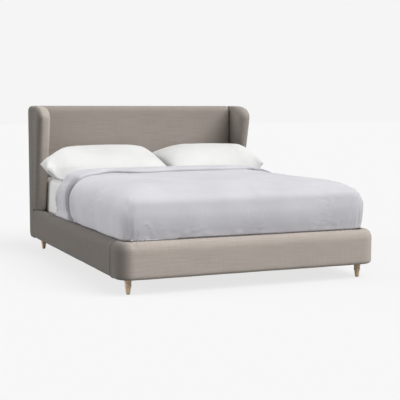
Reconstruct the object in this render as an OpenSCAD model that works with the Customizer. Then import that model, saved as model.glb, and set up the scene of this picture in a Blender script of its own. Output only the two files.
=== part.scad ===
// Upholstered king bed with a winged headboard, dressed with a mattress, a duvet and two pillows.
// The origin is on the floor under the middle of the bed. +X is its right side, +Y its head, +Z is up.
// All sizes are in millimetres.

/* [Mattress] */
// Width of the mattress
mattress_w = 1500; // [1400:10:1900]
// Length of the mattress
mattress_l = 1990; // [1900:10:2100]
// Thickness of the mattress
mattress_t = 280; // [240:5:320]
// Radius of the mattress corners seen from above
mattress_corner_r = 60; // [50:5:80]
// Radius of the top and bottom edges of the mattress
mattress_edge_r = 38; // [25:1:45]
// How far the mattress sits below the top of the rails
mattress_sink = 43; // [35:1:60]
// Room between the mattress and each side rail
side_gap = 32; // [26:1:45]
// Room between the mattress and the headboard
head_gap = 3; // [2:1:8]
// Room between the mattress and the foot rail
foot_gap = 10; // [8:1:20]
// Thickness of the fitted sheet
sheet_t = 3; // [2:0.5:5]
// Width of the hem of the sheet under the mattress
sheet_hem = 120; // [80:5:200]

/* [Rails] */
// Clear height under the frame
leg_h = 90; // [80:1:130]
// Height of the upholstered rails
rail_h = 213; // [205:1:260]
// Thickness of the timber boards in the rails
rail_core_t = 28; // [22:1:34]
// Thickness of the padding on the outside of the rails
rail_pad_t = 30; // [24:1:36]
// Thickness of the cover under the rail boards
pad_bottom = 12; // [8:1:16]
// Thickness of the padding above the rail boards
pad_top = 30; // [26:1:34]
// Radius of the outer edges of the rails
rail_edge_r = 24; // [16:1:26]
// Radius of the inner edges of the rails
rail_inner_r = 8; // [4:1:8]
// Radius of the front corners of the foot rail seen from above
foot_corner_r = 95; // [80:5:130]
// How far the foot rail wraps round onto each side
foot_return = 167; // [160:1:220]
// Width of the corner blocks across the bed
block_w = 110; // [105:1:120]
// Thickness of the arms of the corner blocks
block_arm = 88; // [76:1:100]

/* [Headboard] */
// Height of the top of the headboard above the floor
bed_h = 1070; // [980:5:1250]
// Depth of the headboard box behind the wings
head_box_d = 122; // [110:1:150]
// Distance from the back of the bed to the face of the centre panel
panel_d = 89; // [80:1:100]
// Width of the timber posts
post_w = 45; // [38:1:50]
// Thickness of the padded covers on the outer sides
side_cover_t = 10; // [6:1:14]
// Thickness of the padded cover at the back and underneath
back_cover_t = 12; // [8:1:14]
// Thickness of the board at the back
back_board_t = 4; // [3:1:6]
// Thickness of the cross rails
cross_rail_t = 45; // [38:1:50]
// Height of the middle and top cross rails
cross_rail_h = 45; // [38:1:60]
// Height of the middle cross rail above the floor
mid_rail_z = 560; // [450:10:700]
// Height of the base rail itself
base_rail_h = 150; // [130:5:155]
// Thickness of the base rail
base_rail_t = 60; // [54:1:66]
// Thickness of the face board
face_board_t = 6; // [4:1:8]
// Thickness of the padding over the top of the headboard
top_pad_t = 45; // [35:1:60]
// Radius of the back bottom corner of the headboard
head_corner_r = 46; // [40:1:50]

/* [Wings] */
// Distance from the back of the bed to the furthest point of a wing
wing_d = 354; // [300:1:420]
// How far the front of a wing goes back for each unit of height downwards
wing_lean = 0.22; // [0.1:0.01:0.25]
// Thickness of a wing where it meets the centre panel
wing_root_t = 64; // [58:1:75]
// Thickness of a wing at its front
wing_front_t = 87; // [76:1:88]
// How far the front of a wing leans outwards at the top
wing_flare = 8; // [0:1:20]
// Height of the rounded top front corner of a wing
wing_round_h = 90; // [60:5:140]
// Depth of the rounded top front corner of a wing
wing_round_d = 200; // [120:5:220]
// Depth of the rounded nose of a wing
wing_nose = 62; // [40:1:80]
// Radius of the top edges of a wing
wing_top_r = 28; // [15:1:29]
// Thickness of the shaped board in a wing
wing_board_t = 18; // [15:1:22]
// Padding in front of the shaped board
wing_pad_front = 35; // [25:1:45]

/* [Legs] */
// Diameter of a leg where it meets the frame
leg_top_d = 49; // [42:1:50]
// Diameter of a leg just above its beads
leg_neck_d = 37; // [32:1:38]
// Diameter of the two beads
leg_bead_d = 40; // [38:1:44]
// Height of the middle of the beads above the floor
leg_bead_z = 50; // [44:1:56]
// Height of one bead
leg_bead_h = 9; // [6:1:10]
// Diameter of a leg at its lower end
leg_foot_d = 25; // [20:1:28]
// Distance of the leg axes from the sides of the bed
leg_inset_side = 85; // [76:1:95]
// Distance of the front leg axes from the front of the bed
leg_inset_front = 96; // [86:1:104]
// Distance of the back leg axes from the back of the bed
leg_inset_back = 84; // [80:1:98]
// Thickness of the glides under the legs
glide_t = 3; // [2:0.5:5]

/* [Slatted base] */
// Number of slats in each bank
slat_count = 14; // [10:1:16]
// Width of a slat
slat_w = 68; // [50:1:80]
// Thickness of a slat
slat_t = 9; // [8:1:11]
// Upward bow of a slat over its length
slat_bow = 10; // [4:1:14]
// Width of the slat ledges
ledge_w = 25; // [20:1:30]
// Height of the slat ledges
ledge_h = 40; // [30:1:45]
// Wall of the slat holders
holder_wall = 3; // [2.5:0.5:3.5]
// Length of the side holders along the slat
holder_l = 35; // [28:1:50]
// Width of the centre beam
beam_w = 58; // [50:1:70]
// Height of the centre beam
beam_h = 60; // [50:1:80]
// Steel thickness of the beam hangers
hanger_t = 3; // [2:0.5:4]

/* [Centre legs] */
// Distance of each centre leg from the middle of the bed
centre_leg_y = 350; // [250:10:500]
// Diameter of a centre leg
centre_leg_d = 40; // [30:1:45]
// Thickness of the top plate of a centre leg
centre_plate_t = 4; // [3:0.5:6]
// Diameter of the threaded stem of a levelling foot
stem_d = 10; // [8:1:12]
// Diameter of the disc of a levelling foot
disc_d = 44; // [36:1:50]
// Thickness of the disc of a levelling foot
disc_t = 8; // [6:1:10]
// Thread length a levelling foot can still be screwed in by
foot_travel = 12; // [8:1:15]

/* [Fixings] */
// Diameter of the corner, leg and wing bolts
bolt_d = 8; // [6:1:9]
// Steel thickness of the corner brackets
bracket_t = 4; // [3:0.5:6]
// Height of the corner brackets
bracket_h = 70; // [60:1:74]
// Length of the bracket arm on the side rail
bracket_arm = 80; // [74:1:100]
// Length of the bracket arm across the bed
bracket_cross = 58; // [54:1:62]
// Diameter of the timber dowels
dowel_d = 10; // [8:1:12]
// Diameter of the wood screws
screw_d = 5; // [4:0.5:5.5]

/* [Bedding] */
// Thickness of the duvet over the mattress
duvet_t = 60; // [45:1:80]
// How far the duvet stands out beyond the sides of the mattress
duvet_side = 58; // [50:1:70]
// How far the duvet stands out beyond the foot of the mattress
duvet_foot = 26; // [20:1:34]
// Horizontal reach of the rounded edge of the duvet
duvet_round = 190; // [140:5:220]
// How far the folded end of the duvet lies from the head end of the mattress
duvet_head = 513; // [505:1:560]
// Width of the folded band of the duvet
fold_w = 350; // [250:10:450]
// Extra height of the folded band
fold_t = 32; // [24:1:40]
// Room between the two pillows
pillow_apart = 6; // [4:1:60]
// Thickness of a pillow at its crown
pillow_t = 170; // [130:2:190]
// How much higher the back edge of a pillow lies than its front edge
pillow_rise = 158; // [120:2:190]
// The same near the outer end of a pillow
pillow_end_rise = 140; // [80:2:150]
// How much lower the right pillow lies at its inner end, where the left one presses on it
pillow_pressed = 60; // [0:5:70]
// How far the ends of the pillows hang past the sides of the mattress
pillow_past = 98; // [80:1:98]

/* [Hidden] */
$fn = 48;

// Clearances that the pieces share
seat_gap = 0.3;
bore_gap = 0.1;
hole_gap = 0.6;
thread_gap = 0.16;
eps = 1;

// Overall frame
rail_t = rail_core_t + rail_pad_t;
inner_x = mattress_w / 2 + side_gap;
half_w = inner_x + rail_t;
bed_l = panel_d + head_gap + mattress_l + foot_gap + rail_t;
front_y = -bed_l / 2;
back_y = bed_l / 2;
rail_bottom = leg_h;
rail_top = leg_h + rail_h;
board_bottom = rail_bottom + pad_bottom;
board_top = rail_top - pad_top;
board_h = board_top - board_bottom;
core_outer_x = half_w - rail_pad_t;
foot_inner_y = front_y + rail_t;
seam_y = front_y + foot_return;
corner_x = half_w - foot_corner_r;
corner_y = front_y + foot_corner_r;
block_end_x = core_outer_x - block_w;

// Headboard
box_y = back_y - head_box_d;
panel_y = back_y - panel_d;
post_outer_x = half_w - side_cover_t;
post_inner_x = post_outer_x - post_w;
frame_back_y = back_y - back_cover_t - back_board_t;
cross_y = frame_back_y - cross_rail_t;
face_y = cross_y - face_board_t;
frame_top = bed_h - top_pad_t;
base_rail_bottom = rail_bottom + back_cover_t;
base_rail_top = base_rail_bottom + base_rail_h;

// Slatted base
mattress_z = rail_top - mattress_sink;
block_clear = 10;
block_h = mattress_z - block_clear - board_bottom;
slat_end_gap = 4;
slat_mid_top = mattress_z - seat_gap;
slat_end_top = slat_mid_top - slat_bow;
pocket_z = slat_end_top - slat_t - seat_gap;
ledge_top = pocket_z - holder_wall;
slat_outer_x = inner_x - holder_wall - slat_end_gap;
slat_inner_x = holder_wall + slat_end_gap;
slat_l = slat_outer_x - slat_inner_x;
slat_r = (pow(slat_l / 2, 2) + pow(slat_bow, 2)) / (2 * slat_bow);
pocket_h = slat_t + 4 * slat_bow * holder_l / slat_l + 2 * seat_gap;
slat_front_room = 46;
slat_back_room = 50;
slat_first_y = seam_y + slat_front_room;
slat_last_y = box_y - slat_back_room;
slat_pitch = (slat_last_y - slat_first_y) / (slat_count - 1);
beam_bottom = ledge_top - beam_h;
beam_front_y = foot_inner_y + hanger_t;
beam_back_y = box_y - hanger_t;

// Fixings
bracket_z = board_bottom + 18;
bolt_head_d = 1.7 * bolt_d;
bolt_head_t = 0.6 * bolt_d;
rail_bolt_l = rail_core_t - 4;
cross_bolt_l = base_rail_t - 6;
rail_bolt_at = [30, 64];
cross_bolt_at = [24, 44];
insert_d = bolt_d + 4;
insert_l = 20;
leg_bolt_in_leg = 38;
leg_bolt_l = 90;
wing_bolt_low = 80;
wing_bolt_high = 110;
wing_bolt_z = [rail_top + wing_bolt_low, (rail_top + frame_top) / 2, frame_top - wing_bolt_high];
wing_bolt_in = 45;
wing_bolt_recess = 10;
dowel_l = 60;
dowel_edge = 30;
dowel_upper = 110;
ledge_screw_l = ledge_w + rail_core_t - 8;
ledge_screw_n = 8;
plate_screw_l = 22;
centre_plate_l = 70;
plate_screw_in = 8;
stem_free = 5;
stem_in = 50;
glide_pin_d = 3;
glide_pin_l = 9;
screw_head_d = 1.8 * screw_d;
screw_head_t = 0.5 * screw_d;

// Wings
wing_knee_z = bed_h - wing_round_h;
wing_root_x = half_w - wing_root_t;
wing_board_x = (post_outer_x + post_inner_x - wing_board_t) / 2;
wing_board_bottom = rail_top + 8;
wing_board_top = frame_top - 15;

// Duvet and pillows
sheet_top = mattress_z + mattress_t;
mattress_head_y = panel_y - head_gap;
mattress_foot_y = mattress_head_y - mattress_l;
mattress_mid_y = (mattress_head_y + mattress_foot_y) / 2;
duvet_gap = 0.5;
duvet_hem_z = rail_top + 3;
duvet_fold_y = mattress_head_y - duvet_head;
duvet_flat_x = mattress_w / 2 + duvet_side - duvet_round;
duvet_flat_y = mattress_foot_y - duvet_foot + duvet_round;
duvet_round_h = 155;
duvet_steps = 7;
duvet_bend_steps = 5;
duvet_hem_in = 18;
duvet_slack = 6;
duvet_wave = 4;
duvet_crown = 6;
duvet_square_out = 0.45;
duvet_square_in = 0.28;
fold_step = 14;
pillow_front_y = duvet_fold_y + 6;
pillow_back_y = panel_y - 5;
pillow_end_x = mattress_w / 2 + pillow_past;
pillow_bend = 260;
pillow_shift = 75;
pillow_skew = 25;
pillow_tip_drop = 60;
pillow_end_lift = 60;
pillow_pressed_l = 400;
pillow_right_extra = 20;
pillow_draw = 9;
pillow_front_in = 24;
pillow_top_share = 0.56;
pillow_end_back_y = back_y - wing_d - 12;
pillow_edge_z = 32;
pillow_nx = 22;
pillow_ny = 16;

// Smooth step from 0 at a to 1 at b
function smooth(a, b, x) =
    let(t = max(0, min(1, (x - a) / (b - a))))
    t * t * (3 - 2 * t);

// Points of a rectangle with rounded corners, from its centre, at height z
function round_ring(cx, cy, w, l, r, z, steps = 6) = [
    for (q = [0:3])
        for (i = [0:steps])
            let(a = 90 * q + 90 * i / steps)
            let(sx = (q == 0 || q == 3) ? 1 : -1)
            let(sy = (q < 2) ? 1 : -1)
            [cx + sx * (w / 2 - r) + r * cos(a), cy + sy * (l / 2 - r) + r * sin(a), z]
];

// Closed skin over a stack of rings that all have the same number of points
module skin(rings) {
    n = len(rings[0]);
    m = len(rings);
    points = [for (ring = rings) each ring];
    lower = [for (i = [0:n - 1]) i];
    upper = [for (i = [n - 1:-1:0]) (m - 1) * n + i];
    sides = [
        for (j = [0:m - 2])
            for (i = [0:n - 1])
                let(a = j * n + i)
                let(b = j * n + (i + 1) % n)
                each [[a, a + n, b], [b, a + n, b + n]]
    ];
    polyhedron(points = points, faces = concat([lower], sides, [upper]), convexity = 6);
}

// Closed solid between two grids of points that are joined along their rims
module grid_solid(top, bottom) {
    rows = len(top);
    cols = len(top[0]);
    k = rows * cols;
    points = concat([for (row = top) each row], [for (row = bottom) each row]);
    cells = [
        for (j = [0:rows - 2])
            for (i = [0:cols - 2])
                let(a = j * cols + i)
                each [
                    [a, a + 1, a + cols],
                    [a + 1, a + cols + 1, a + cols],
                    [k + a, k + a + cols, k + a + 1],
                    [k + a + 1, k + a + cols, k + a + cols + 1]
                ]
    ];
    rim = concat(
        [for (i = [0:cols - 1]) i],
        [for (j = [1:rows - 1]) j * cols + cols - 1],
        [for (i = [cols - 2:-1:0]) (rows - 1) * cols + i],
        [for (j = [rows - 2:-1:1]) j * cols]
    );
    edges = [
        for (i = [0:len(rim) - 1])
            let(a = rim[i])
            let(b = rim[(i + 1) % len(rim)])
            each [[a, k + a, b], [b, k + a, k + b]]
    ];
    polyhedron(points = points, faces = concat(cells, edges), convexity = 8);
}

// A closed grid whose rim points are shared by both sheets
module pillow_solid(top, bottom) {
    rows = len(top);
    cols = len(top[0]);
    k = rows * cols;
    function inner(j, i) = j > 0 && j < rows - 1 && i > 0 && i < cols - 1;
    function under(j, i) = inner(j, i) ? k + (j - 1) * (cols - 2) + i - 1 : j * cols + i;
    points = concat(
        [for (row = top) each row],
        [for (j = [1:rows - 2]) for (i = [1:cols - 2]) bottom[j][i]]
    );
    cells = [
        for (j = [0:rows - 2])
            for (i = [0:cols - 2])
                let(a = j * cols + i)
                let(b = a + 1)
                let(c = a + cols)
                let(d = c + 1)
                let(e = under(j, i))
                let(f = under(j, i + 1))
                let(g = under(j + 1, i))
                let(h = under(j + 1, i + 1))
                each (2 * i < cols - 1) == (2 * j < rows - 1)
                    ? [[a, d, c], [a, b, d], [e, g, h], [e, h, f]]
                    : [[a, b, c], [b, d, c], [e, g, f], [f, g, h]]
    ];
    polyhedron(points = points, faces = cells, convexity = 6);
}

module right_side() {
    children();
}

module left_side() {
    mirror([1, 0, 0]) children();
}

module both_sides() {
    children();
    mirror([1, 0, 0]) children();
}

// Bolt with a round head, its head's underside at the origin and its shank along +Z
module bolt(d, l, head_d, head_t) {
    cylinder(d = d, h = l);
    translate([0, 0, -head_t]) cylinder(d = head_d, h = head_t);
}

// Section of an upholstered rail: x runs inwards from its outer face, y upwards from its underside
module rail_outline() {
    inner_edge = rail_t - rail_inner_r;
    translate([rail_edge_r, 0]) square([inner_edge - rail_edge_r, rail_h]);
    translate([0, rail_edge_r]) square([rail_edge_r + eps, rail_h - 2 * rail_edge_r]);
    translate([inner_edge - eps, rail_inner_r]) square([rail_inner_r + eps, rail_h - 2 * rail_inner_r]);
    for (y = [rail_edge_r, rail_h - rail_edge_r])
        translate([rail_edge_r, y]) circle(r = rail_edge_r);
    for (y = [rail_inner_r, rail_h - rail_inner_r])
        translate([inner_edge, y]) circle(r = rail_inner_r);
}

// Padding of a rail, open on the inside where timber of height core_h sits in it
module pad_section(core_h) {
    difference() {
        rail_outline();
        translate([rail_pad_t, pad_bottom]) square([rail_core_t + eps, core_h]);
    }
}

// Outline of the headboard box seen from its side, drawn in by an inset
module head_outline(inset) {
    r = head_corner_r;
    translate([box_y, rail_bottom + r]) square([head_box_d - inset, frame_top - rail_bottom - r]);
    translate([box_y, rail_bottom + inset]) square([head_box_d - r, r]);
    translate([back_y - r, rail_bottom + r]) circle(r = r - inset);
}

// Extrudes an outline drawn in the y and z directions along x
module along_x(x0, x1) {
    translate([x0, 0, 0])
        rotate([90, 0, 90])
            linear_extrude(x1 - x0) children();
}

// Dowels at the ends of the cross rails and of the foot rail, on the right side
module dowel_row(d, l) {
    rows = [
        [post_inner_x, box_y + base_rail_t / 2, base_rail_bottom + base_rail_h / 2],
        [post_inner_x, box_y + base_rail_t / 2, base_rail_top - dowel_edge],
        [post_inner_x, cross_y + cross_rail_t / 2, mid_rail_z + cross_rail_h / 2],
        [post_inner_x, cross_y + cross_rail_t / 2, frame_top - cross_rail_h / 2],
        [block_end_x, foot_inner_y - rail_core_t / 2, board_bottom + 1.5 * dowel_edge],
        [block_end_x, foot_inner_y - rail_core_t / 2, board_bottom + dowel_upper]
    ];
    for (p = rows)
        translate([p[0] - l / 2, p[1], p[2]]) rotate([0, 90, 0]) cylinder(d = d, h = l);
}

module dowel_bores() {
    both_sides() dowel_row(dowel_d + bore_gap, dowel_l + eps);
}

// Bolts of one corner bracket on the right side. The corner is where the board meets the cross piece,
// and way is 1 where the cross piece lies towards the head and -1 where it lies towards the foot.
module bracket_bolts(y, way, d, grow) {
    z = bracket_z + bracket_h / 2;
    for (at = rail_bolt_at)
        translate([inner_x - bracket_t, y - way * at, z])
            rotate([0, 90, 0])
                bolt(d, rail_bolt_l + bracket_t + grow, bolt_head_d, bolt_head_t);
    for (at = cross_bolt_at)
        translate([inner_x - at, y - way * bracket_t, z])
            rotate([-way * 90, 0, 0])
                bolt(d, cross_bolt_l + bracket_t + grow, bolt_head_d, bolt_head_t);
}

module bracket_bores() {
    bracket_bolts(box_y, 1, bolt_d + bore_gap, eps);
    bracket_bolts(seam_y, -1, bolt_d + bore_gap, eps);
}

module corner_bracket(y, way) {
    back = way > 0 ? y - bracket_arm : y;
    face = way > 0 ? y - bracket_t : y;
    color("dimgray") difference() {
        union() {
            translate([inner_x - bracket_t, back, bracket_z]) cube([bracket_t, bracket_arm, bracket_h]);
            translate([inner_x - bracket_cross, face, bracket_z])
                cube([bracket_cross, bracket_t, bracket_h]);
        }
        for (at = rail_bolt_at)
            translate([inner_x - bracket_t - eps, y - way * at, bracket_z + bracket_h / 2])
                rotate([0, 90, 0]) cylinder(d = bolt_d + hole_gap, h = bracket_t + 2 * eps);
        for (at = cross_bolt_at)
            translate([inner_x - at, face - eps, bracket_z + bracket_h / 2])
                rotate([-90, 0, 0]) cylinder(d = bolt_d + hole_gap, h = bracket_t + 2 * eps);
    }
}

// Headboard frame
module headboard_post() {
    color("burlywood") difference() {
        along_x(post_inner_x, post_outer_x) intersection() {
            head_outline(back_cover_t);
            translate([box_y, 0]) square([frame_back_y - box_y, frame_top]);
        }
        dowel_row(dowel_d + bore_gap, dowel_l + eps);
        for (z = wing_bolt_z)
            translate([wing_board_x + wing_board_t / 2, frame_back_y + eps, z]) rotate([90, 0, 0]) {
                cylinder(d = bolt_d + bore_gap, h = head_box_d);
                cylinder(d = bolt_head_d + hole_gap, h = wing_bolt_recess + eps);
            }
    }
}

module headboard_base_rail() {
    color("burlywood") difference() {
        translate([-post_inner_x, box_y, base_rail_bottom])
            cube([2 * post_inner_x, base_rail_t, base_rail_h]);
        dowel_bores();
        both_sides() bracket_bores();
        both_sides() leg_socket(back_y - leg_inset_back);
        hanger_screw_set(box_y, 1, screw_d + bore_gap, eps);
    }
}

module headboard_cross_rail(z) {
    color("burlywood") difference() {
        translate([-post_inner_x, cross_y, z]) cube([2 * post_inner_x, cross_rail_t, cross_rail_h]);
        dowel_bores();
    }
}

module headboard_face_board() {
    color("peru") translate([-post_inner_x, face_y, base_rail_top])
        cube([2 * post_inner_x, face_board_t, frame_top - base_rail_top]);
}

module headboard_back_board() {
    z0 = rail_bottom + head_corner_r;
    color("peru") translate([-post_outer_x, frame_back_y, z0])
        cube([2 * post_outer_x, back_board_t, frame_top - z0]);
}

// Centre padding: the front layer and the roll over the top, as one upholstered piece
module headboard_centre_pad() {
    back_r = 0.4 * top_pad_t;
    color([0.6, 0.56, 0.53]) along_x(-wing_root_x, wing_root_x) {
        translate([panel_y, base_rail_top]) square([face_y - panel_y, frame_top - base_rail_top]);
        translate([panel_y + top_pad_t, frame_top]) square([panel_d - top_pad_t - back_r, top_pad_t]);
        translate([back_y - back_r - eps, frame_top]) square([back_r + eps, top_pad_t - back_r]);
        intersection() {
            translate([panel_y + top_pad_t, frame_top]) circle(r = top_pad_t);
            translate([panel_y, frame_top]) square([top_pad_t + eps, top_pad_t]);
        }
        translate([back_y - back_r, bed_h - back_r]) circle(r = back_r);
    }
}

module headboard_back_cover() {
    color([0.5, 0.47, 0.44]) difference() {
        along_x(-post_outer_x, post_outer_x) difference() {
            head_outline(0);
            head_outline(back_cover_t);
        }
        both_sides() leg_socket(back_y - leg_inset_back);
    }
}

module headboard_side_cover() {
    color([0.42, 0.4, 0.37]) along_x(post_outer_x, half_w) head_outline(0);
}

// Wings
function wing_front(z) =
    let(straight = wing_d - wing_lean * max(0, wing_knee_z - z))
    let(up = max(0, min(1, (z - wing_knee_z) / wing_round_h)))
    back_y - straight + wing_round_d * (1 - sqrt(1 - up * up));

function wing_inset(z) =
    let(up = max(0, z - (bed_h - wing_top_r)))
    wing_top_r - sqrt(max(0, pow(wing_top_r, 2) - up * up));

// Level ring of a wing at height z, with its three back corners given in tail
function wing_ring(z, tail) =
    let(y = wing_front(z))
    let(inset = wing_inset(z))
    let(lean = wing_flare * (z - rail_top) / (bed_h - rail_top))
    let(outer = half_w + lean - inset)
    let(inner = half_w + lean - wing_front_t + inset)
    let(nose = min(wing_nose, 0.8 * (box_y - y)))
    let(mid = (outer + inner) / 2)
    let(half = (outer - inner) / 2)
    concat(
        [for (p = tail) [p[0], p[1], z]],
        [for (i = [0:16]) let(a = 180 - 180 * i / 16) [mid + half * cos(a), y + nose * (1 - sin(a)), z]],
        [[half_w - inset, (y + nose + box_y) / 2, z]],
        [[half_w - inset, box_y, z]]
    );

function lower_tail() = [[post_inner_x, box_y], [post_inner_x, panel_y], [wing_root_x, panel_y]];

function upper_tail(z) =
    let(inset = wing_inset(z))
    [[half_w - inset, back_y - inset], [wing_root_x, back_y - inset], [wing_root_x, panel_y]];

module wing_board_shape() {
    steps = 10;
    lean = [
        for (i = [0:steps])
            let(z = wing_board_bottom + (wing_board_top - wing_board_bottom) * i / steps)
            [wing_front(z) + wing_pad_front, z]
    ];
    polygon(concat([[box_y, wing_board_top], [box_y, wing_board_bottom]], lean));
}

module wing_board() {
    color("peru") difference() {
        along_x(wing_board_x, wing_board_x + wing_board_t) wing_board_shape();
        for (z = wing_bolt_z)
            translate([wing_board_x + wing_board_t / 2, box_y + eps, z])
                rotate([90, 0, 0]) cylinder(d = bolt_d + bore_gap, h = wing_bolt_in + eps);
    }
}

module wing_pad() {
    low_steps = 6;
    round_steps = 5;
    cap_steps = 5;
    low = [for (i = [0:low_steps]) rail_top + (wing_knee_z - rail_top) * i / low_steps];
    middle = [for (i = [1:round_steps]) wing_knee_z + (frame_top - wing_knee_z) * i / round_steps];
    cap_base = bed_h - wing_top_r;
    cap = [for (i = [1:cap_steps]) cap_base + wing_top_r * sin(90 * i / cap_steps)];
    beside_post = [for (z = concat(low, middle)) wing_ring(z, lower_tail())];
    over_post = [for (z = concat([frame_top + seat_gap, cap_base], cap)) wing_ring(z, upper_tail(z))];
    color([0.64, 0.6, 0.57]) difference() {
        skin(concat(beside_post, over_post));
        along_x(wing_board_x, wing_board_x + wing_board_t) wing_board_shape();
    }
}

module wing_bolts() {
    l = frame_back_y - wing_bolt_recess - box_y + wing_bolt_in - 2;
    color("silver") both_sides()
        for (z = wing_bolt_z)
            translate([wing_board_x + wing_board_t / 2, frame_back_y - wing_bolt_recess, z])
                rotate([90, 0, 0]) bolt(bolt_d, l, bolt_head_d, bolt_head_t);
}

// Rails
module side_rail() {
    color("burlywood") difference() {
        translate([inner_x, seam_y, board_bottom])
            cube([rail_core_t, box_y - seam_y, board_h]);
        bracket_bores();
        ledge_screw_set(screw_d + bore_gap, eps);
    }
}

module side_pad() {
    color([0.43, 0.41, 0.38])
        translate([half_w, box_y, rail_bottom])
            rotate([90, 0, 0]) mirror([1, 0, 0]) linear_extrude(box_y - seam_y) pad_section(board_h);
}

module foot_rail() {
    color("burlywood") difference() {
        translate([-block_end_x, foot_inner_y - rail_core_t, board_bottom])
            cube([2 * block_end_x, rail_core_t, board_h]);
        dowel_bores();
        hanger_screw_set(foot_inner_y, -1, screw_d + bore_gap, eps);
    }
}

// Area inside the right front corner that lies within a distance from the outer face, seen from above
module corner_area(depth) {
    r = foot_corner_r - depth;
    reach = foot_return;
    translate([corner_x, corner_y]) circle(r = r);
    translate([corner_x - reach, corner_y - r]) square([reach, reach + r]);
    translate([corner_x - reach, corner_y]) square([reach + r, reach]);
}

module block_plan() {
    intersection() {
        corner_area(rail_pad_t);
        difference() {
            translate([block_end_x, front_y]) square([half_w - block_end_x, foot_return]);
            translate([block_end_x - eps, front_y + rail_pad_t + block_arm])
                square([core_outer_x - block_arm - block_end_x + eps, foot_return]);
        }
    }
}

// Corner block: it carries the leg and joins the foot rail to the side rail
module foot_block() {
    color("tan") difference() {
        union() {
            translate([0, 0, board_bottom]) linear_extrude(block_h) block_plan();
            translate([0, 0, rail_bottom]) linear_extrude(pad_bottom + eps) intersection() {
                block_plan();
                corner_area(rail_t);
            }
        }
        dowel_row(dowel_d + bore_gap, dowel_l + eps);
        bracket_bores();
        leg_socket(front_y + leg_inset_front);
    }
}

module foot_pad() {
    color([0.62, 0.58, 0.54]) difference() {
        union() {
            translate([-block_end_x, front_y, rail_bottom])
                rotate([90, 0, 90]) linear_extrude(2 * block_end_x) pad_section(board_h);
            both_sides() {
                translate([block_end_x, front_y, rail_bottom])
                    rotate([90, 0, 90]) linear_extrude(corner_x - block_end_x) pad_section(block_h);
                translate([half_w, seam_y, rail_bottom])
                    rotate([90, 0, 0])
                        mirror([1, 0, 0]) linear_extrude(seam_y - corner_y) pad_section(block_h);
                translate([corner_x, corner_y, rail_bottom])
                    rotate([0, 0, -90])
                        rotate_extrude(angle = 90, $fn = 96)
                            translate([foot_corner_r, 0]) mirror([1, 0]) pad_section(block_h);
            }
        }
        both_sides() leg_socket(front_y + leg_inset_front);
    }
}

module frame_dowels() {
    color("wheat") both_sides() dowel_row(dowel_d, dowel_l);
}

module corner_bolts() {
    color("silver") both_sides() {
        bracket_bolts(box_y, 1, bolt_d, 0);
        bracket_bolts(seam_y, -1, bolt_d, 0);
    }
}

// Slatted base
module slat_ledge() {
    y0 = seam_y + 5;
    color("burlywood") difference() {
        translate([inner_x - ledge_w, y0, ledge_top - ledge_h]) cube([ledge_w, box_y - 5 - y0, ledge_h]);
        ledge_screw_set(screw_d + bore_gap, eps);
    }
}

// Screws through the ledge of the right side into its rail board
module ledge_screw_set(d, grow) {
    step = (slat_last_y - slat_first_y) / ledge_screw_n;
    for (i = [0:ledge_screw_n - 1])
        translate([inner_x - ledge_w, slat_first_y + (i + 0.5) * step, ledge_top - ledge_h / 2])
            rotate([0, 90, 0]) {
                cylinder(d = d, h = ledge_screw_l + grow);
                translate([0, 0, -screw_head_t]) cylinder(d = screw_head_d, h = screw_head_t);
            }
}

module slat() {
    color("wheat") translate([0, slat_w / 2, 0]) rotate([90, 0, 0]) linear_extrude(slat_w) intersection() {
        translate([slat_inner_x, slat_end_top - slat_t - slat_bow]) square([slat_l, slat_t + 3 * slat_bow]);
        translate([(slat_inner_x + slat_outer_x) / 2, slat_mid_top - slat_r]) difference() {
            circle(r = slat_r, $fn = 1440);
            circle(r = slat_r - slat_t, $fn = 1440);
        }
    }
}

module each_slat() {
    for (i = [0:slat_count - 1])
        translate([0, slat_first_y + i * slat_pitch, 0]) children();
}

module slat_holder_side() {
    w = slat_w + 2 * holder_wall;
    color([0.2, 0.2, 0.2]) difference() {
        translate([inner_x - holder_l, -w / 2, ledge_top])
            cube([holder_l, w, 2 * holder_wall + pocket_h]);
        translate([inner_x - holder_l - eps, -slat_w / 2 - seat_gap, pocket_z])
            cube([holder_l - holder_wall + eps, slat_w + 2 * seat_gap, pocket_h]);
    }
}

module slat_holder_centre() {
    w = slat_w + 2 * holder_wall;
    color([0.2, 0.2, 0.2]) difference() {
        translate([-beam_w / 2, -w / 2, ledge_top]) cube([beam_w, w, 2 * holder_wall + pocket_h]);
        both_sides()
            translate([holder_wall, -slat_w / 2 - seat_gap, pocket_z])
                cube([beam_w, slat_w + 2 * seat_gap, pocket_h]);
    }
}

module centre_beam() {
    color("burlywood") difference() {
        translate([-beam_w / 2, beam_front_y, beam_bottom])
            cube([beam_w, beam_back_y - beam_front_y, beam_h]);
        for (way = [-1, 1])
            centre_leg_screw_set(way * centre_leg_y, screw_d + bore_gap, eps);
    }
}

// Steel hanger that carries one end of the centre beam
module beam_hanger(y, way) {
    seat_l = 40;
    flange = 30;
    side_h = beam_h - 5;
    inside = beam_w + 2 * seat_gap;
    face = way > 0 ? y - hanger_t : y;
    seat = way > 0 ? y - seat_l : y;
    wide = inside + 2 * hanger_t;
    color("dimgray") difference() {
        union() {
            translate([-wide / 2 - flange, face, beam_bottom - hanger_t])
                cube([wide + 2 * flange, hanger_t, side_h]);
            translate([-wide / 2, seat, beam_bottom - hanger_t]) cube([wide, seat_l, side_h]);
        }
        translate([-inside / 2, way > 0 ? seat - eps : y + hanger_t, beam_bottom])
            cube([inside, seat_l - hanger_t + eps, beam_h]);
        hanger_screw_set(y, way, screw_d + hole_gap, eps);
    }
}

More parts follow.
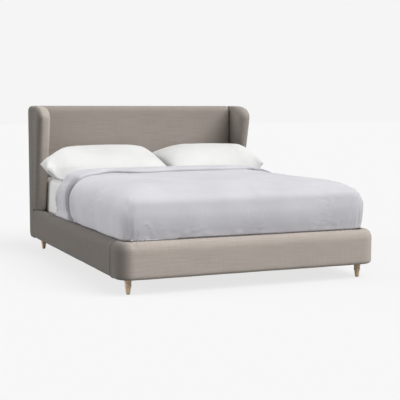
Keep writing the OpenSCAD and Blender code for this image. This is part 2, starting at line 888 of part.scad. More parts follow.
module hanger_screw_set(y, way, d, grow) {
    at_x = beam_w / 2 + seat_gap + hanger_t + 15;
    for (side = [-1, 1])
        for (z = [beam_bottom + 12, beam_bottom + beam_h - 22])
            translate([side * at_x, y - way * hanger_t, z])
                rotate([-way * 90, 0, 0]) {
                    cylinder(d = d, h = plate_screw_l + hanger_t + grow);
                    translate([0, 0, -screw_head_t]) cylinder(d = screw_head_d, h = screw_head_t);
                }
}

// Centre legs and their levelling feet
module centre_leg(y) {
    bottom = disc_t + foot_travel + stem_free;
    bore_l = stem_in + foot_travel + stem_free;
    color([0.15, 0.15, 0.15]) difference() {
        union() {
            translate([-beam_w / 2, y - centre_plate_l / 2, beam_bottom - centre_plate_t])
                cube([beam_w, centre_plate_l, centre_plate_t]);
            translate([0, y, bottom])
                cylinder(d = centre_leg_d, h = beam_bottom - centre_plate_t - bottom + eps);
        }
        translate([0, y, bottom - eps]) cylinder(d = stem_d + thread_gap, h = bore_l + eps);
        centre_leg_screw_set(y, screw_d + hole_gap, eps);
    }
}

module centre_leg_screw_set(y, d, grow) {
    for (sx = [-1, 1])
        for (sy = [-1, 1])
            translate([sx * (beam_w / 2 - plate_screw_in), y + sy * (centre_plate_l / 2 - plate_screw_in),
                       beam_bottom - centre_plate_t]) {
                cylinder(d = d, h = plate_screw_l + centre_plate_t + grow);
                translate([0, 0, -screw_head_t]) cylinder(d = screw_head_d, h = screw_head_t);
            }
}

module levelling_foot(y) {
    color("gray") translate([0, y, 0]) {
        cylinder(d = disc_d, h = disc_t);
        cylinder(d = stem_d, h = disc_t + stem_free + stem_in);
    }
}

// Turned legs
function leg_profile() =
    let(z0 = glide_t)
    let(zb = leg_bead_z)
    let(taper = [[leg_foot_d / 2 - 2, z0], [leg_foot_d / 2, z0 + 3], [leg_neck_d / 2 - 1, zb]])
    let(flare = [
        for (i = [0:6])
            let(t = i / 6)
            [leg_neck_d / 2 + (leg_top_d - leg_neck_d) / 2 * pow(t, 2.2), zb + (leg_h - zb) * t]
    ])
    concat([[0, z0]], taper, flare, [[0, leg_h]]);

module leg(y) {
    color([0.72, 0.58, 0.42]) translate([half_w - leg_inset_side, y, 0]) difference() {
        rotate_extrude() {
            polygon(leg_profile());
            for (way = [-1, 1])
                translate([(leg_bead_d - leg_bead_h) / 2, leg_bead_z + way * leg_bead_h / 2])
                    circle(d = leg_bead_h);
        }
        translate([0, 0, leg_h - leg_bolt_in_leg])
            cylinder(d = bolt_d + bore_gap, h = leg_bolt_in_leg + eps);
        cylinder(d = glide_pin_d + bore_gap, h = glide_t + glide_pin_l + eps);
    }
}

// Socket for the threaded insert and bolt of a leg on the right side
module leg_socket(y) {
    translate([half_w - leg_inset_side, y, rail_bottom - eps]) {
        cylinder(d = insert_d + bore_gap, h = pad_bottom + insert_l + eps);
        cylinder(d = bolt_d + bore_gap, h = leg_bolt_l - leg_bolt_in_leg + 2 * eps);
    }
}

module each_leg() {
    both_sides() {
        translate([half_w - leg_inset_side, front_y + leg_inset_front, 0]) children();
        translate([half_w - leg_inset_side, back_y - leg_inset_back, 0]) children();
    }
}

module leg_bolts() {
    color("silver") each_leg()
        translate([0, 0, leg_h - leg_bolt_in_leg]) cylinder(d = bolt_d, h = leg_bolt_l);
}

module leg_inserts() {
    color("silver") each_leg() translate([0, 0, rail_bottom]) difference() {
        cylinder(d = insert_d, h = pad_bottom + insert_l);
        translate([0, 0, -eps]) cylinder(d = bolt_d + bore_gap, h = pad_bottom + insert_l + 2 * eps);
    }
}

module leg_glides() {
    color([0.2, 0.2, 0.2]) each_leg() {
        cylinder(d = leg_foot_d - 5, h = glide_t);
        cylinder(d = glide_pin_d, h = glide_t + glide_pin_l);
    }
}

// Mattress and sheet: a slab with rounded corners and edges, drawn in by an inset all round
module soft_slab(inset) {
    steps = 4;
    r = mattress_edge_r - inset;
    z0 = mattress_z + inset;
    z1 = sheet_top - inset;
    w = mattress_w - 2 * inset;
    l = mattress_l - 2 * inset;
    low = [for (i = [0:steps]) let(a = 90 * i / steps) [r * (1 - sin(a)), z0 + r * (1 - cos(a))]];
    high = [for (i = [0:steps]) let(a = 90 * i / steps) [r * (1 - cos(a)), z1 - r * (1 - sin(a))]];
    skin([
        for (p = concat(low, high))
            round_ring(0, mattress_mid_y, w - 2 * p[0], l - 2 * p[0],
                mattress_corner_r - inset - p[0], p[1])
    ]);
}

module mattress() {
    color("whitesmoke") soft_slab(sheet_t + seat_gap);
}

module fitted_sheet() {
    open_w = mattress_w - 2 * sheet_hem;
    open_l = mattress_l - 2 * sheet_hem;
    color("white") difference() {
        soft_slab(0);
        soft_slab(sheet_t);
        translate([-open_w / 2, mattress_mid_y - open_l / 2, mattress_z - eps])
            cube([open_w, open_l, sheet_t + 2 * eps]);
    }
}

// Outward reach and height of the duvet's outer face at step k of its way down to the hem
function duvet_outer(k) =
    let(a = 90 * min(1, k / duvet_bend_steps))
    let(down = max(0, (k - duvet_bend_steps) / (duvet_steps - duvet_bend_steps)))
    let(bend_z = sheet_top + duvet_t - duvet_round_h)
    [
        duvet_round * sin(a) - duvet_hem_in * down * down,
        bend_z + duvet_round_h * cos(a) - (bend_z - duvet_hem_z) * down
    ];

// The same for its inner face, which follows the sheet and reaches its side at a distance of reach
function duvet_inner(k, reach) =
    let(r = mattress_edge_r - duvet_slack)
    let(a = 90 * max(0, min(1, (k - 1) / 3)))
    let(down = max(0, (k - 4) / (duvet_steps - 4)))
    [
        (reach - r) * min(1, k) + r * sin(a),
        sheet_top + duvet_gap - r * (1 - cos(a)) - (sheet_top - r - duvet_hem_z) * down
    ];

// Point of the duvet's outer or inner face for a place along its width and its length.
// Past the flat top, between -1 and 1 or up to 1, each place is 1 plus a share of the steps down.
function duvet_point(u, v, outer) =
    let(p = max(0, abs(u) - 1))
    let(q = max(0, v - 1))
    let(t = max(p, q))
    let(k = t * duvet_steps)
    let(turn = t == 0 ? 0 : (p >= q ? 45 * q / p : 90 - 45 * p / q))
    let(square = outer ? duvet_square_out : duvet_square_in)
    let(cx = t == 0 ? 0 : pow(cos(turn), square))
    let(cy = t == 0 ? 0 : pow(sin(turn), square))
    let(off_x = outer ? duvet_outer(k) : duvet_inner(k, mattress_w / 2 + duvet_slack - duvet_flat_x))
    let(off_y = outer ? duvet_outer(k) : duvet_inner(k, duvet_flat_y - mattress_foot_y + duvet_slack))
    let(flat_x = max(-1, min(1, u)) * duvet_flat_x)
    let(flat_y = duvet_fold_y + (duvet_flat_y - duvet_fold_y) * min(1, v))
    let(band = outer ? fold_t * smooth(-fold_step, 0, flat_y - duvet_fold_y + fold_w) : 0)
    let(end = outer ? smooth(-20, 50, duvet_fold_y - flat_y) : 0)
    let(wave = outer ? duvet_wave * t * sin(1.9 * flat_y + 2.3 * flat_x) : 0)
    let(crown = outer ? duvet_crown * pow(1 - t, 2) * cos(90 * flat_x / duvet_flat_x) : 0)
    [
        flat_x + (u < 0 ? -1 : 1) * (off_x[0] + wave + 0.25 * band * t) * cx,
        flat_y - (off_y[0] + wave) * cy,
        off_x[1] + end * (band * (1 - t) + crown) - (outer ? (1 - end) * duvet_t * (1 - t) / 2 : 0)
    ];

module duvet() {
    hang = [for (i = [1:duvet_steps]) 1 + i / duvet_steps];
    fold_v = fold_w / (duvet_fold_y - duvet_flat_y);
    step_v = fold_step / (duvet_fold_y - duvet_flat_y);
    us = concat(
        [for (i = [duvet_steps - 1:-1:0]) -hang[i]],
        [for (i = [-4:4]) i / 4],
        hang
    );
    vs = concat(
        [0, 0.012, 0.03, fold_v * 0.35, fold_v * 0.7, fold_v, fold_v + step_v],
        [for (i = [1:7]) fold_v + step_v + (1 - fold_v - step_v) * i / 7],
        hang
    );
    top = [for (v = vs) [for (u = us) duvet_point(u, v, true)]];
    bottom = [for (v = vs) [for (u = us) duvet_point(u, v, false)]];
    color([0.85, 0.85, 0.88]) grid_solid(top, bottom);
}

// Point of a pillow on the right side. It leans on the headboard, its outer end hangs past the
// mattress in front of the wing, and the inner ends of the two pillows meet along a slanted line.
function pillow_point(u, v, way, side) =
    let(start = pillow_apart / 2 + side * (pillow_shift - pillow_skew * v))
    let(draw_x = pillow_draw * (1 - v * v) * pow(abs(u), 6))
    let(x = start + (pillow_end_x - start) * (u + 1) / 2 - (u < 0 ? -1 : 1) * draw_x)
    let(squeeze = smooth(mattress_w / 2 - pillow_bend, mattress_w / 2 - 8, x))
    let(y_back = pillow_back_y + (pillow_end_back_y - pillow_back_y) * squeeze)
    let(y_front = pillow_front_y + pillow_front_in * squeeze)
    let(draw_y = pillow_draw * (1 - u * u) * pow(abs(v), 6))
    let(y = y_front + (y_back - y_front) * (v + 1) / 2 - (v < 0 ? -1 : 1) * draw_y)
    let(fullness = pow((1 - pow(abs(u), 5)) * (1 - pow(abs(v), 2.2)), 0.4))
    let(pressed = side > 0 ? pillow_pressed * (1 - smooth(0, pillow_pressed_l, x)) : 0)
    let(end_rise = pillow_end_rise + (side > 0 ? pillow_right_extra : 0))
    let(bent = (pillow_rise - pressed) * (1 - squeeze) + end_rise * squeeze)
    let(rise = bent - pillow_tip_drop * smooth(0.6, 1, u))
    let(lifted = pillow_end_lift * smooth(mattress_w / 2, pillow_end_x, x))
    let(mid = sheet_top + pillow_edge_z + rise * (v + 1) / 2 + lifted * (1 - v) / 2)
    let(z = mid + (way > 0 ? pillow_top_share : pillow_top_share - 1) * pillow_t * fullness)
    [x, y, way > 0 ? z : max(z, sheet_top + seat_gap)];

module pillow(side) {
    us = [for (i = [0:pillow_nx]) -cos(180 * i / pillow_nx)];
    vs = [for (j = [0:pillow_ny]) cos(180 * j / pillow_ny)];
    top = [for (v = vs) [for (u = us) pillow_point(u, v, 1, side)]];
    bottom = [for (v = vs) [for (u = us) pillow_point(u, v, -1, side)]];
    color("snow") pillow_solid(top, bottom);
}

module ledge_screws() {
    color("silver") both_sides() ledge_screw_set(screw_d, 0);
}

module hanger_screws() {
    color("silver") {
        hanger_screw_set(foot_inner_y, -1, screw_d, 0);
        hanger_screw_set(box_y, 1, screw_d, 0);
    }
}

module centre_leg_screws() {
    color("silver")
        for (way = [-1, 1])
            centre_leg_screw_set(way * centre_leg_y, screw_d, 0);
}

left_side() headboard_post();  // headboard_post_left
right_side() headboard_post();  // headboard_post_right
headboard_base_rail();
headboard_cross_rail(mid_rail_z);  // headboard_mid_rail
headboard_cross_rail(frame_top - cross_rail_h);  // headboard_top_rail
headboard_face_board();
headboard_back_board();
headboard_centre_pad();
headboard_back_cover();
left_side() headboard_side_cover();  // headboard_side_cover_left
right_side() headboard_side_cover();  // headboard_side_cover_right
left_side() wing_board();  // wing_board_left
right_side() wing_board();  // wing_board_right
left_side() wing_pad();  // wing_pad_left
right_side() wing_pad();  // wing_pad_right
wing_bolts();
left_side() side_rail();  // side_rail_left
right_side() side_rail();  // side_rail_right
left_side() side_pad();  // side_pad_left
right_side() side_pad();  // side_pad_right
foot_rail();
left_side() foot_block();  // foot_block_left
right_side() foot_block();  // foot_block_right
foot_pad();
frame_dowels();
left_side() corner_bracket(seam_y, -1);  // corner_bracket_front_left
corner_bracket(seam_y, -1);  // corner_bracket_front_right
left_side() corner_bracket(box_y, 1);  // corner_bracket_back_left
corner_bracket(box_y, 1);  // corner_bracket_back_right
corner_bolts();
left_side() slat_ledge();  // slat_ledge_left
right_side() slat_ledge();  // slat_ledge_right
ledge_screws();
centre_beam();
beam_hanger(foot_inner_y, -1);  // beam_hanger_front
beam_hanger(box_y, 1);  // beam_hanger_back
hanger_screws();
centre_leg(-centre_leg_y);  // centre_leg_front
centre_leg(centre_leg_y);  // centre_leg_back
centre_leg_screws();
levelling_foot(-centre_leg_y);  // levelling_foot_front
levelling_foot(centre_leg_y);  // levelling_foot_back
left_side() each_slat() slat();  // slats_left
right_side() each_slat() slat();  // slats_right
left_side() each_slat() slat_holder_side();  // slat_holders_left
right_side() each_slat() slat_holder_side();  // slat_holders_right
each_slat() slat_holder_centre();  // slat_holders_centre
left_side() leg(front_y + leg_inset_front);  // leg_front_left
right_side() leg(front_y + leg_inset_front);  // leg_front_right
left_side() leg(back_y - leg_inset_back);  // leg_back_left
right_side() leg(back_y - leg_inset_back);  // leg_back_right
leg_bolts();
leg_inserts();
leg_glides();
mattress();
fitted_sheet();
duvet();
left_side() pillow(-1);  // pillow_left
right_side() pillow(1);  // pillow_right
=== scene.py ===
import math

import bpy
import bmesh
from mathutils import Euler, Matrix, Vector, noise
from mathutils.bvhtree import BVHTree


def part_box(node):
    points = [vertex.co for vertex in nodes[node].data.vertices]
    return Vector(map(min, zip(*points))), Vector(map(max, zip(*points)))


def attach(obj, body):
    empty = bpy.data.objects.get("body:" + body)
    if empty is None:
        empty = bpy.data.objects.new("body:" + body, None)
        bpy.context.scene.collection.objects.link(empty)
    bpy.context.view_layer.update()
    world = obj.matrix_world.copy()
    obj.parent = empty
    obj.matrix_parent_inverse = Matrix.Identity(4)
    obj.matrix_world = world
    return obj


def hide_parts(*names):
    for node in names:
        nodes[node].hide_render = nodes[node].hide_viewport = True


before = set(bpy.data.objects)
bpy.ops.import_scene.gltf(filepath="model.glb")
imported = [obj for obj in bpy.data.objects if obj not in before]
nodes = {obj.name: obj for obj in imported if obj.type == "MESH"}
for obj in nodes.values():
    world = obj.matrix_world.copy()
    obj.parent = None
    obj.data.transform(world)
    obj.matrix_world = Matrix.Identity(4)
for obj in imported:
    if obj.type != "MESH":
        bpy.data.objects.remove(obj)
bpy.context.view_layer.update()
scene = bpy.context.scene
up = Vector((0, 0, 1))

# Camera
cameraView = {"place": (-2.4953, -6.1413, 1.0455), "turn": 22.92, "down": 5.35, "lens": 87.44,
              "sensor": 36.0}

lensData = bpy.data.cameras.new("photoLens")
lensData.lens = cameraView["lens"]
lensData.sensor_width = cameraView["sensor"]
photoCamera = bpy.data.objects.new("photoCamera", lensData)
photoCamera.location = cameraView["place"]
photoCamera.rotation_euler = Euler(
    (math.radians(90 - cameraView["down"]), 0, math.radians(-cameraView["turn"])))
scene.collection.objects.link(photoCamera)
scene.camera = photoCamera
print("camera ready")


# Shader helpers
def plug(tree, node, inputs):
    for socket, value in inputs.items():
        if isinstance(value, bpy.types.NodeSocket):
            tree.links.new(value, node.inputs[socket])
        else:
            node.inputs[socket].default_value = value


def put(tree, kind, inputs=None, **settings):
    node = tree.nodes.new("ShaderNode" + kind)
    for key, value in settings.items():
        setattr(node, key, value)
    plug(tree, node, inputs or {})
    return node


def calc(tree, operation, a, b=0.0, c=0.0):
    return put(tree, "Math", {0: a, 1: b, 2: c}, operation=operation).outputs[0]


def spread(tree, value, low, high, newLow=0.0, newHigh=1.0):
    return put(tree, "MapRange", {0: value, 1: low, 2: high, 3: newLow, 4: newHigh}).outputs[0]


def tint(tree, share, first, second):
    return put(tree, "Mix", {0: share, 6: first, 7: second}, data_type="RGBA").outputs[2]


def placed(tree, vector, scale):
    return put(tree, "Mapping", {"Vector": vector, "Scale": scale}).outputs[0]


def cloud(tree, vector, scale, detail=2.0, rough=0.5):
    return put(tree, "TexNoise", {"Vector": vector, "Scale": scale, "Detail": detail,
                                  "Roughness": rough}).outputs[0]


def newGroup(name, inputs, outputs):
    tree = bpy.data.node_groups.new(name, "ShaderNodeTree")
    for label, kind, value in inputs:
        socket = tree.interface.new_socket(name=label, in_out="INPUT", socket_type=kind)
        if value is not None:
            socket.default_value = value
    for label in outputs:
        tree.interface.new_socket(name=label, in_out="OUTPUT", socket_type="NodeSocketFloat")
    return tree, tree.nodes.new("NodeGroupInput").outputs, tree.nodes.new("NodeGroupOutput").inputs


def useGroup(tree, group, inputs):
    node = tree.nodes.new("ShaderNodeGroup")
    node.node_tree = group
    plug(tree, node, inputs)
    return node.outputs


# Woven cloth on the thread attribute: x runs along the weft and y along the warp, in metres
def makeWeaveGroup():
    tree, given, out = newGroup("wovenThreads", [
        ("Thread", "NodeSocketVector", None), ("Pitch", "NodeSocketFloat", 600.0),
        ("Slub", "NodeSocketFloat", 1.0)], ["Height", "Streak", "Speck"])
    parts = put(tree, "SeparateXYZ", {0: given["Thread"]}).outputs
    wobble = cloud(tree, given["Thread"], 40.0)
    u = calc(tree, "MULTIPLY_ADD", wobble, 0.004, parts[0])
    v = calc(tree, "MULTIPLY_ADD", wobble, 0.004, parts[1])
    turn = calc(tree, "MULTIPLY", given["Pitch"], math.pi)
    warp = calc(tree, "SINE", calc(tree, "MULTIPLY", u, turn))
    weft = calc(tree, "SINE", calc(tree, "MULTIPLY", v, turn))
    weave = calc(tree, "MULTIPLY_ADD", calc(tree, "MULTIPLY", warp, weft), 0.5, 0.5)
    slubAcross = cloud(tree, placed(tree, given["Thread"], (5.0, 260.0, 1.0)), 1.0, 3.0, 0.6)
    slubDown = cloud(tree, placed(tree, given["Thread"], (330.0, 7.0, 1.0)), 1.0, 2.0, 0.5)
    streak = calc(tree, "MULTIPLY_ADD", slubDown, 0.3, calc(tree, "MULTIPLY", slubAcross, 0.7))
    thick = calc(tree, "MULTIPLY", spread(tree, slubAcross, 0.52, 0.75), given["Slub"])
    fibre = cloud(tree, given["Thread"], 900.0, 1.0)
    raised = calc(tree, "MULTIPLY_ADD", thick, 1.4, weave)
    tree.links.new(calc(tree, "ADD", raised, calc(tree, "MULTIPLY", fibre, 0.5)), out["Height"])
    tree.links.new(spread(tree, streak, 0.32, 0.68), out["Streak"])
    tree.links.new(spread(tree, cloud(tree, given["Thread"], 420.0, 2.0), 0.3, 0.7), out["Speck"])
    return tree


# Slow change over a surface: shade from rubbing and dust, and a finer blotch
def makeMottleGroup():
    tree, given, out = newGroup("surfaceMottle", [
        ("Vector", "NodeSocketVector", None), ("Scale", "NodeSocketFloat", 3.0)], ["Broad", "Small"])
    tree.links.new(spread(tree, cloud(tree, given["Vector"], given["Scale"]), 0.3, 0.7), out["Broad"])
    finer = calc(tree, "MULTIPLY", given["Scale"], 7.0)
    tree.links.new(spread(tree, cloud(tree, given["Vector"], finer, 4.0), 0.3, 0.7), out["Small"])
    return tree


# Small creases of washed cotton
def makeCreaseGroup():
    tree, given, out = newGroup("washedCreases", [
        ("Vector", "NodeSocketVector", None), ("Scale", "NodeSocketFloat", 9.0)], ["Height"])
    sway = put(tree, "TexNoise", {"Vector": given["Vector"], "Scale": 4.0, "Detail": 2.0}).outputs[1]
    bend = put(tree, "VectorMath", {0: sway, 3: 0.12}, operation="SCALE").outputs[0]
    bent = put(tree, "VectorMath", {0: given["Vector"], 1: bend}, operation="ADD").outputs[0]
    one = cloud(tree, placed(tree, bent, (1.0, 2.6, 0.5)), given["Scale"])
    two = cloud(tree, placed(tree, bent, (2.4, 1.0, 0.4)), given["Scale"])
    ridgeOne = calc(tree, "ABSOLUTE", calc(tree, "SUBTRACT", one, 0.5))
    ridgeTwo = calc(tree, "ABSOLUTE", calc(tree, "SUBTRACT", two, 0.5))
    valley = spread(tree, calc(tree, "MINIMUM", ridgeOne, ridgeTwo), 0.0, 0.12)
    tree.links.new(calc(tree, "SUBTRACT", 1.0, valley), out["Height"])
    return tree


# Timber: rings drawn out along the board, with fine pores
def makeGrainGroup():
    tree, given, out = newGroup("timberGrain", [
        ("Vector", "NodeSocketVector", None), ("Rings", "NodeSocketFloat", 60.0)], ["Grain", "Pore"])
    sway = put(tree, "TexNoise", {"Vector": given["Vector"], "Scale": 1.6, "Detail": 2.0}).outputs[1]
    bend = put(tree, "VectorMath", {0: sway, 3: 0.35}, operation="SCALE").outputs[0]
    bent = put(tree, "VectorMath", {0: given["Vector"], 1: bend}, operation="ADD").outputs[0]
    rings = put(tree, "TexWave", {"Vector": bent, "Scale": given["Rings"], "Distortion": 3.0, "Detail": 2.0,
                                  "Detail Scale": 1.5}, wave_type="RINGS", rings_direction="X").outputs[1]
    fine = cloud(tree, given["Vector"], 90.0, 3.0)
    tree.links.new(calc(tree, "MULTIPLY_ADD", fine, 0.45, calc(tree, "MULTIPLY", rings, 0.55)), out["Grain"])
    tree.links.new(spread(tree, fine, 0.5, 0.72), out["Pore"])
    return tree


weaveGroup = makeWeaveGroup()
mottleGroup = makeMottleGroup()
creaseGroup = makeCreaseGroup()
grainGroup = makeGrainGroup()


def newMaterial(name):
    material = bpy.data.materials.new(name)
    material.use_nodes = True
    tree = material.node_tree
    shader = tree.nodes["Principled BSDF"]
    return material, tree, shader


def setShader(shader, **values):
    for key, value in values.items():
        shader.inputs[key.replace("_", " ")].default_value = value


def join(tree, socket, shader, name):
    tree.links.new(socket, shader.inputs[name])


def shaded(colour, share):
    return [c * share for c in colour[:3]] + [1]


def bumped(tree, height, strength, distance):
    return put(tree, "Bump", {"Strength": strength, "Distance": distance, "Height": height}).outputs[0]


# Materials
# The grey that is multiplied into the cover on faces turned from the light is painted shade
linen = {"dark": (0.393, 0.342, 0.299, 1), "light": (0.536, 0.479, 0.428, 1),
         "worn": (0.49, 0.439, 0.399, 1), "paintedShadeGrey": (0.36, 0.36, 0.36, 1), "pitch": 640.0, "bump": 0.35,
         "depth": 0.0006, "speck": 0.22, "rub": 0.18, "dust": 0.86}


def linenMaterial(name, shade=1.0):
    material, tree, shader = newMaterial(name)
    thread = put(tree, "Attribute", attribute_name="thread").outputs["Vector"]
    weave = useGroup(tree, weaveGroup, {"Thread": thread, "Pitch": linen["pitch"], "Slub": 1.0})
    place = put(tree, "TexCoord").outputs["Object"]
    mottle = useGroup(tree, mottleGroup, {"Vector": place, "Scale": 2.6})
    woven = tint(tree, weave["Streak"], shaded(linen["dark"], shade), shaded(linen["light"], shade))
    worn = shaded(linen["worn"], shade)
    speckled = tint(tree, calc(tree, "MULTIPLY", weave["Speck"], linen["speck"]), woven, worn)
    rubbed = tint(tree, calc(tree, "MULTIPLY", mottle["Broad"], linen["rub"]), speckled,
                  shaded(worn, linen["dust"]))
    # Painted shade: the cloth's colour is multiplied towards a grey by the piece's share of painted side
    # shade
    sideShadeShare = put(tree, "Attribute", attribute_name="paintedSideShade").outputs["Fac"]
    sideShaded = put(tree, "Mix", {0: sideShadeShare, 6: rubbed, 7: linen["paintedShadeGrey"]}, data_type="RGBA",
                 blend_type="MULTIPLY").outputs[2]
    join(tree, sideShaded, shader, "Base Color")
    join(tree, spread(tree, mottle["Small"], 0, 1, 0.86, 0.98), shader, "Roughness")
    join(tree, bumped(tree, weave["Height"], linen["bump"], linen["depth"]), shader, "Normal")
    setShader(shader, Specular_IOR_Level=0.25, Sheen_Weight=0.12, Sheen_Roughness=0.55)
    return material


def cottonMaterial(name, low, high, crease, pitch, sheen):
    material, tree, shader = newMaterial(name)
    thread = put(tree, "Attribute", attribute_name="thread").outputs["Vector"]
    weave = useGroup(tree, weaveGroup, {"Thread": thread, "Pitch": pitch, "Slub": 0.15})
    place = put(tree, "TexCoord").outputs["Object"]
    mottle = useGroup(tree, mottleGroup, {"Vector": place, "Scale": 4.0})
    creases = useGroup(tree, creaseGroup, {"Vector": place, "Scale": 7.0})
    cloth = tint(tree, mottle["Broad"], low, high)
    streaked = tint(tree, calc(tree, "MULTIPLY", weave["Streak"], 0.12), cloth, shaded(low, 0.93))
    # Painted shade in the duvet's fold: the colour darkens by the foldShade share
    fold = put(tree, "Attribute", attribute_name="foldShade").outputs["Fac"]
    join(tree, tint(tree, fold, streaked, shaded(low, 0.3)), shader, "Base Color")
    join(tree, spread(tree, mottle["Small"], 0, 1, 0.78, 0.92), shader, "Roughness")
    creased = calc(tree, "MULTIPLY", creases["Height"], crease)
    height = calc(tree, "MULTIPLY_ADD", weave["Height"], 0.04, creased)
    join(tree, bumped(tree, height, 0.5, 0.004), shader, "Normal")
    setShader(shader, Specular_IOR_Level=0.2, Sheen_Weight=sheen, Sheen_Roughness=0.5)
    return material


def timberMaterial(name, along, low, high, rings=9.0, rough=0.6, coat=0.0, pore=0.4):
    material, tree, shader = newMaterial(name)
    scale = {"x": (0.12, 1.6, 1.6), "y": (1.6, 0.12, 1.6), "z": (1.6, 1.6, 0.12)}[along]
    place = placed(tree, put(tree, "TexCoord").outputs["Object"], scale)
    grain = useGroup(tree, grainGroup, {"Vector": place, "Rings": rings})
    mottle = useGroup(tree, mottleGroup, {"Vector": place, "Scale": 5.0})
    wood = tint(tree, grain["Grain"], low, high)
    aged = tint(tree, calc(tree, "MULTIPLY", mottle["Broad"], 0.3), wood, shaded(low, 0.8))
    join(tree, aged, shader, "Base Color")
    join(tree, spread(tree, mottle["Small"], 0, 1, rough - 0.08, rough + 0.1), shader, "Roughness")
    join(tree, bumped(tree, calc(tree, "SUBTRACT", 1.0, grain["Pore"]), pore, 0.0004), shader, "Normal")
    setShader(shader, Specular_IOR_Level=0.4, Coat_Weight=coat, Coat_Roughness=0.35)
    return material


def metalMaterial(name, low, high, metallic, rough, blotch=40.0):
    material, tree, shader = newMaterial(name)
    place = put(tree, "TexCoord").outputs["Object"]
    mottle = useGroup(tree, mottleGroup, {"Vector": place, "Scale": blotch})
    join(tree, tint(tree, mottle["Small"], low, high), shader, "Base Color")
    join(tree, spread(tree, mottle["Broad"], 0, 1, rough - 0.06, rough + 0.1), shader, "Roughness")
    join(tree, bumped(tree, mottle["Small"], 0.12, 0.0004), shader, "Normal")
    setShader(shader, Metallic=metallic, Specular_IOR_Level=0.5)
    return material


linenCover = linenMaterial("linenCover")
linenBack = linenMaterial("linenBack", 0.90)
# A darker copy of the cover linen, painted shade for the centre panel that lies between the wings
shadedPanelLinen = linenMaterial("shadedPanelLinen", 0.70)
duvetCotton = cottonMaterial("duvetCotton", (0.575, 0.57, 0.605, 1), (0.64, 0.635, 0.67, 1), 0.18,
                             900.0, 0.05)
sheetCotton = cottonMaterial("sheetCotton", (0.83, 0.83, 0.82, 1), (0.88, 0.88, 0.87, 1), 0.2, 1000.0, 0.03)
pillowCotton = cottonMaterial("pillowCotton", (0.70, 0.70, 0.69, 1), (0.76, 0.76, 0.75, 1), 0.12,
                              1000.0, 0.03)
mattressKnit = cottonMaterial("mattressKnit", (0.72, 0.72, 0.70, 1), (0.80, 0.80, 0.78, 1), 0.1, 300.0, 0.05)
legOak = timberMaterial("legOak", "z", (0.76, 0.54, 0.34, 1), (0.91, 0.71, 0.49, 1), 14.0, 0.45, 0.15)
pineX = timberMaterial("pineX", "x", (0.52, 0.36, 0.19, 1), (0.66, 0.50, 0.31, 1))
pineY = timberMaterial("pineY", "y", (0.52, 0.36, 0.19, 1), (0.66, 0.50, 0.31, 1))
pineZ = timberMaterial("pineZ", "z", (0.52, 0.36, 0.19, 1), (0.66, 0.50, 0.31, 1))
plyX = timberMaterial("plyX", "x", (0.50, 0.36, 0.21, 1), (0.60, 0.46, 0.30, 1), 5.0, 0.7)
plyZ = timberMaterial("plyZ", "z", (0.50, 0.36, 0.21, 1), (0.60, 0.46, 0.30, 1), 5.0, 0.7)
slatBirch = timberMaterial("slatBirch", "x", (0.62, 0.46, 0.27, 1), (0.74, 0.59, 0.40, 1), 7.0, 0.42, 0.2)
dowelBeech = timberMaterial("dowelBeech", "x", (0.58, 0.42, 0.25, 1), (0.68, 0.52, 0.34, 1), 12.0, 0.6)
zincSteel = metalMaterial("zincSteel", (0.50, 0.50, 0.51, 1), (0.62, 0.62, 0.64, 1), 1.0, 0.38)
blackSteel = metalMaterial("blackSteel", (0.025, 0.025, 0.026, 1), (0.04, 0.04, 0.042, 1), 0.0, 0.5)
holderPlastic = metalMaterial("holderPlastic", (0.03, 0.03, 0.031, 1), (0.05, 0.05, 0.05, 1), 0.0, 0.55,
                              60.0)
glidePlastic = metalMaterial("glidePlastic", (0.07, 0.065, 0.06, 1), (0.1, 0.095, 0.09, 1), 0.0, 0.6, 60.0)

# Nodes of the frame that stay as they are, by the start of their names
nodeFinishes = {
    "headboard_post": pineZ, "headboard_base_rail": pineX, "headboard_mid_rail": pineX,
    "headboard_top_rail": pineX, "headboard_face_board": plyX, "headboard_back_board": plyX,
    "wing_board": plyZ, "side_rail": pineY, "foot_rail": pineX, "foot_block": pineZ,
    "frame_dowels": dowelBeech, "slat_ledge": pineY, "centre_beam": pineY, "slats_": slatBirch,
    "slat_holders": holderPlastic, "corner_bracket": blackSteel, "beam_hanger": blackSteel,
    "centre_leg_screws": zincSteel, "centre_leg_": blackSteel, "levelling_foot": zincSteel,
    "wing_bolts": zincSteel, "corner_bolts": zincSteel, "ledge_screws": zincSteel,
    "hanger_screws": zincSteel, "leg_bolts": zincSteel, "leg_inserts": zincSteel,
    "leg_glides": glidePlastic, "leg_": legOak,
}
for nodeName, node in nodes.items():
    for start, finish in nodeFinishes.items():
        if nodeName.startswith(start):
            for slot in node.material_slots:
                slot.material = finish
            break
print("materials ready")


# Mesh helpers
def addPiece(name, bm, material):
    mesh = bpy.data.meshes.new(name)
    bm.to_mesh(mesh)
    bm.free()
    piece = bpy.data.objects.new(name, mesh)
    scene.collection.objects.link(piece)
    mesh.materials.append(material)
    mesh.shade_smooth()
    return piece


def nodeCopy(nodeName):
    bm = bmesh.new()
    bm.from_mesh(nodes[nodeName].data)
    for layer in list(bm.loops.layers.uv.values()):
        bm.loops.layers.uv.remove(layer)
    bmesh.ops.remove_doubles(bm, verts=bm.verts, dist=1e-5)
    return bm


def settle(piece):
    graph = bpy.context.evaluated_depsgraph_get()
    shaped = bpy.data.meshes.new_from_object(piece.evaluated_get(graph))
    piece.modifiers.clear()
    piece.data = shaped
    shaped.shade_smooth()


def remesh(piece, voxel):
    modifier = piece.modifiers.new("remesh", "REMESH")
    modifier.mode = "VOXEL"
    modifier.voxel_size = voxel
    settle(piece)


def eachPoint(piece, change):
    for vertex in piece.data.vertices:
        vertex.co = change(vertex.co.copy())
    piece.data.update()


def relax(piece, times, strength=0.5, free=None):
    bm = bmesh.new()
    bm.from_mesh(piece.data)
    verts = [v for v in bm.verts if free is None or free(v.co)]
    for _ in range(times):
        bmesh.ops.smooth_vert(bm, verts=verts, factor=strength, use_axis_x=True, use_axis_y=True,
                              use_axis_z=True)
    bm.to_mesh(piece.data)
    bm.free()
    piece.data.update()


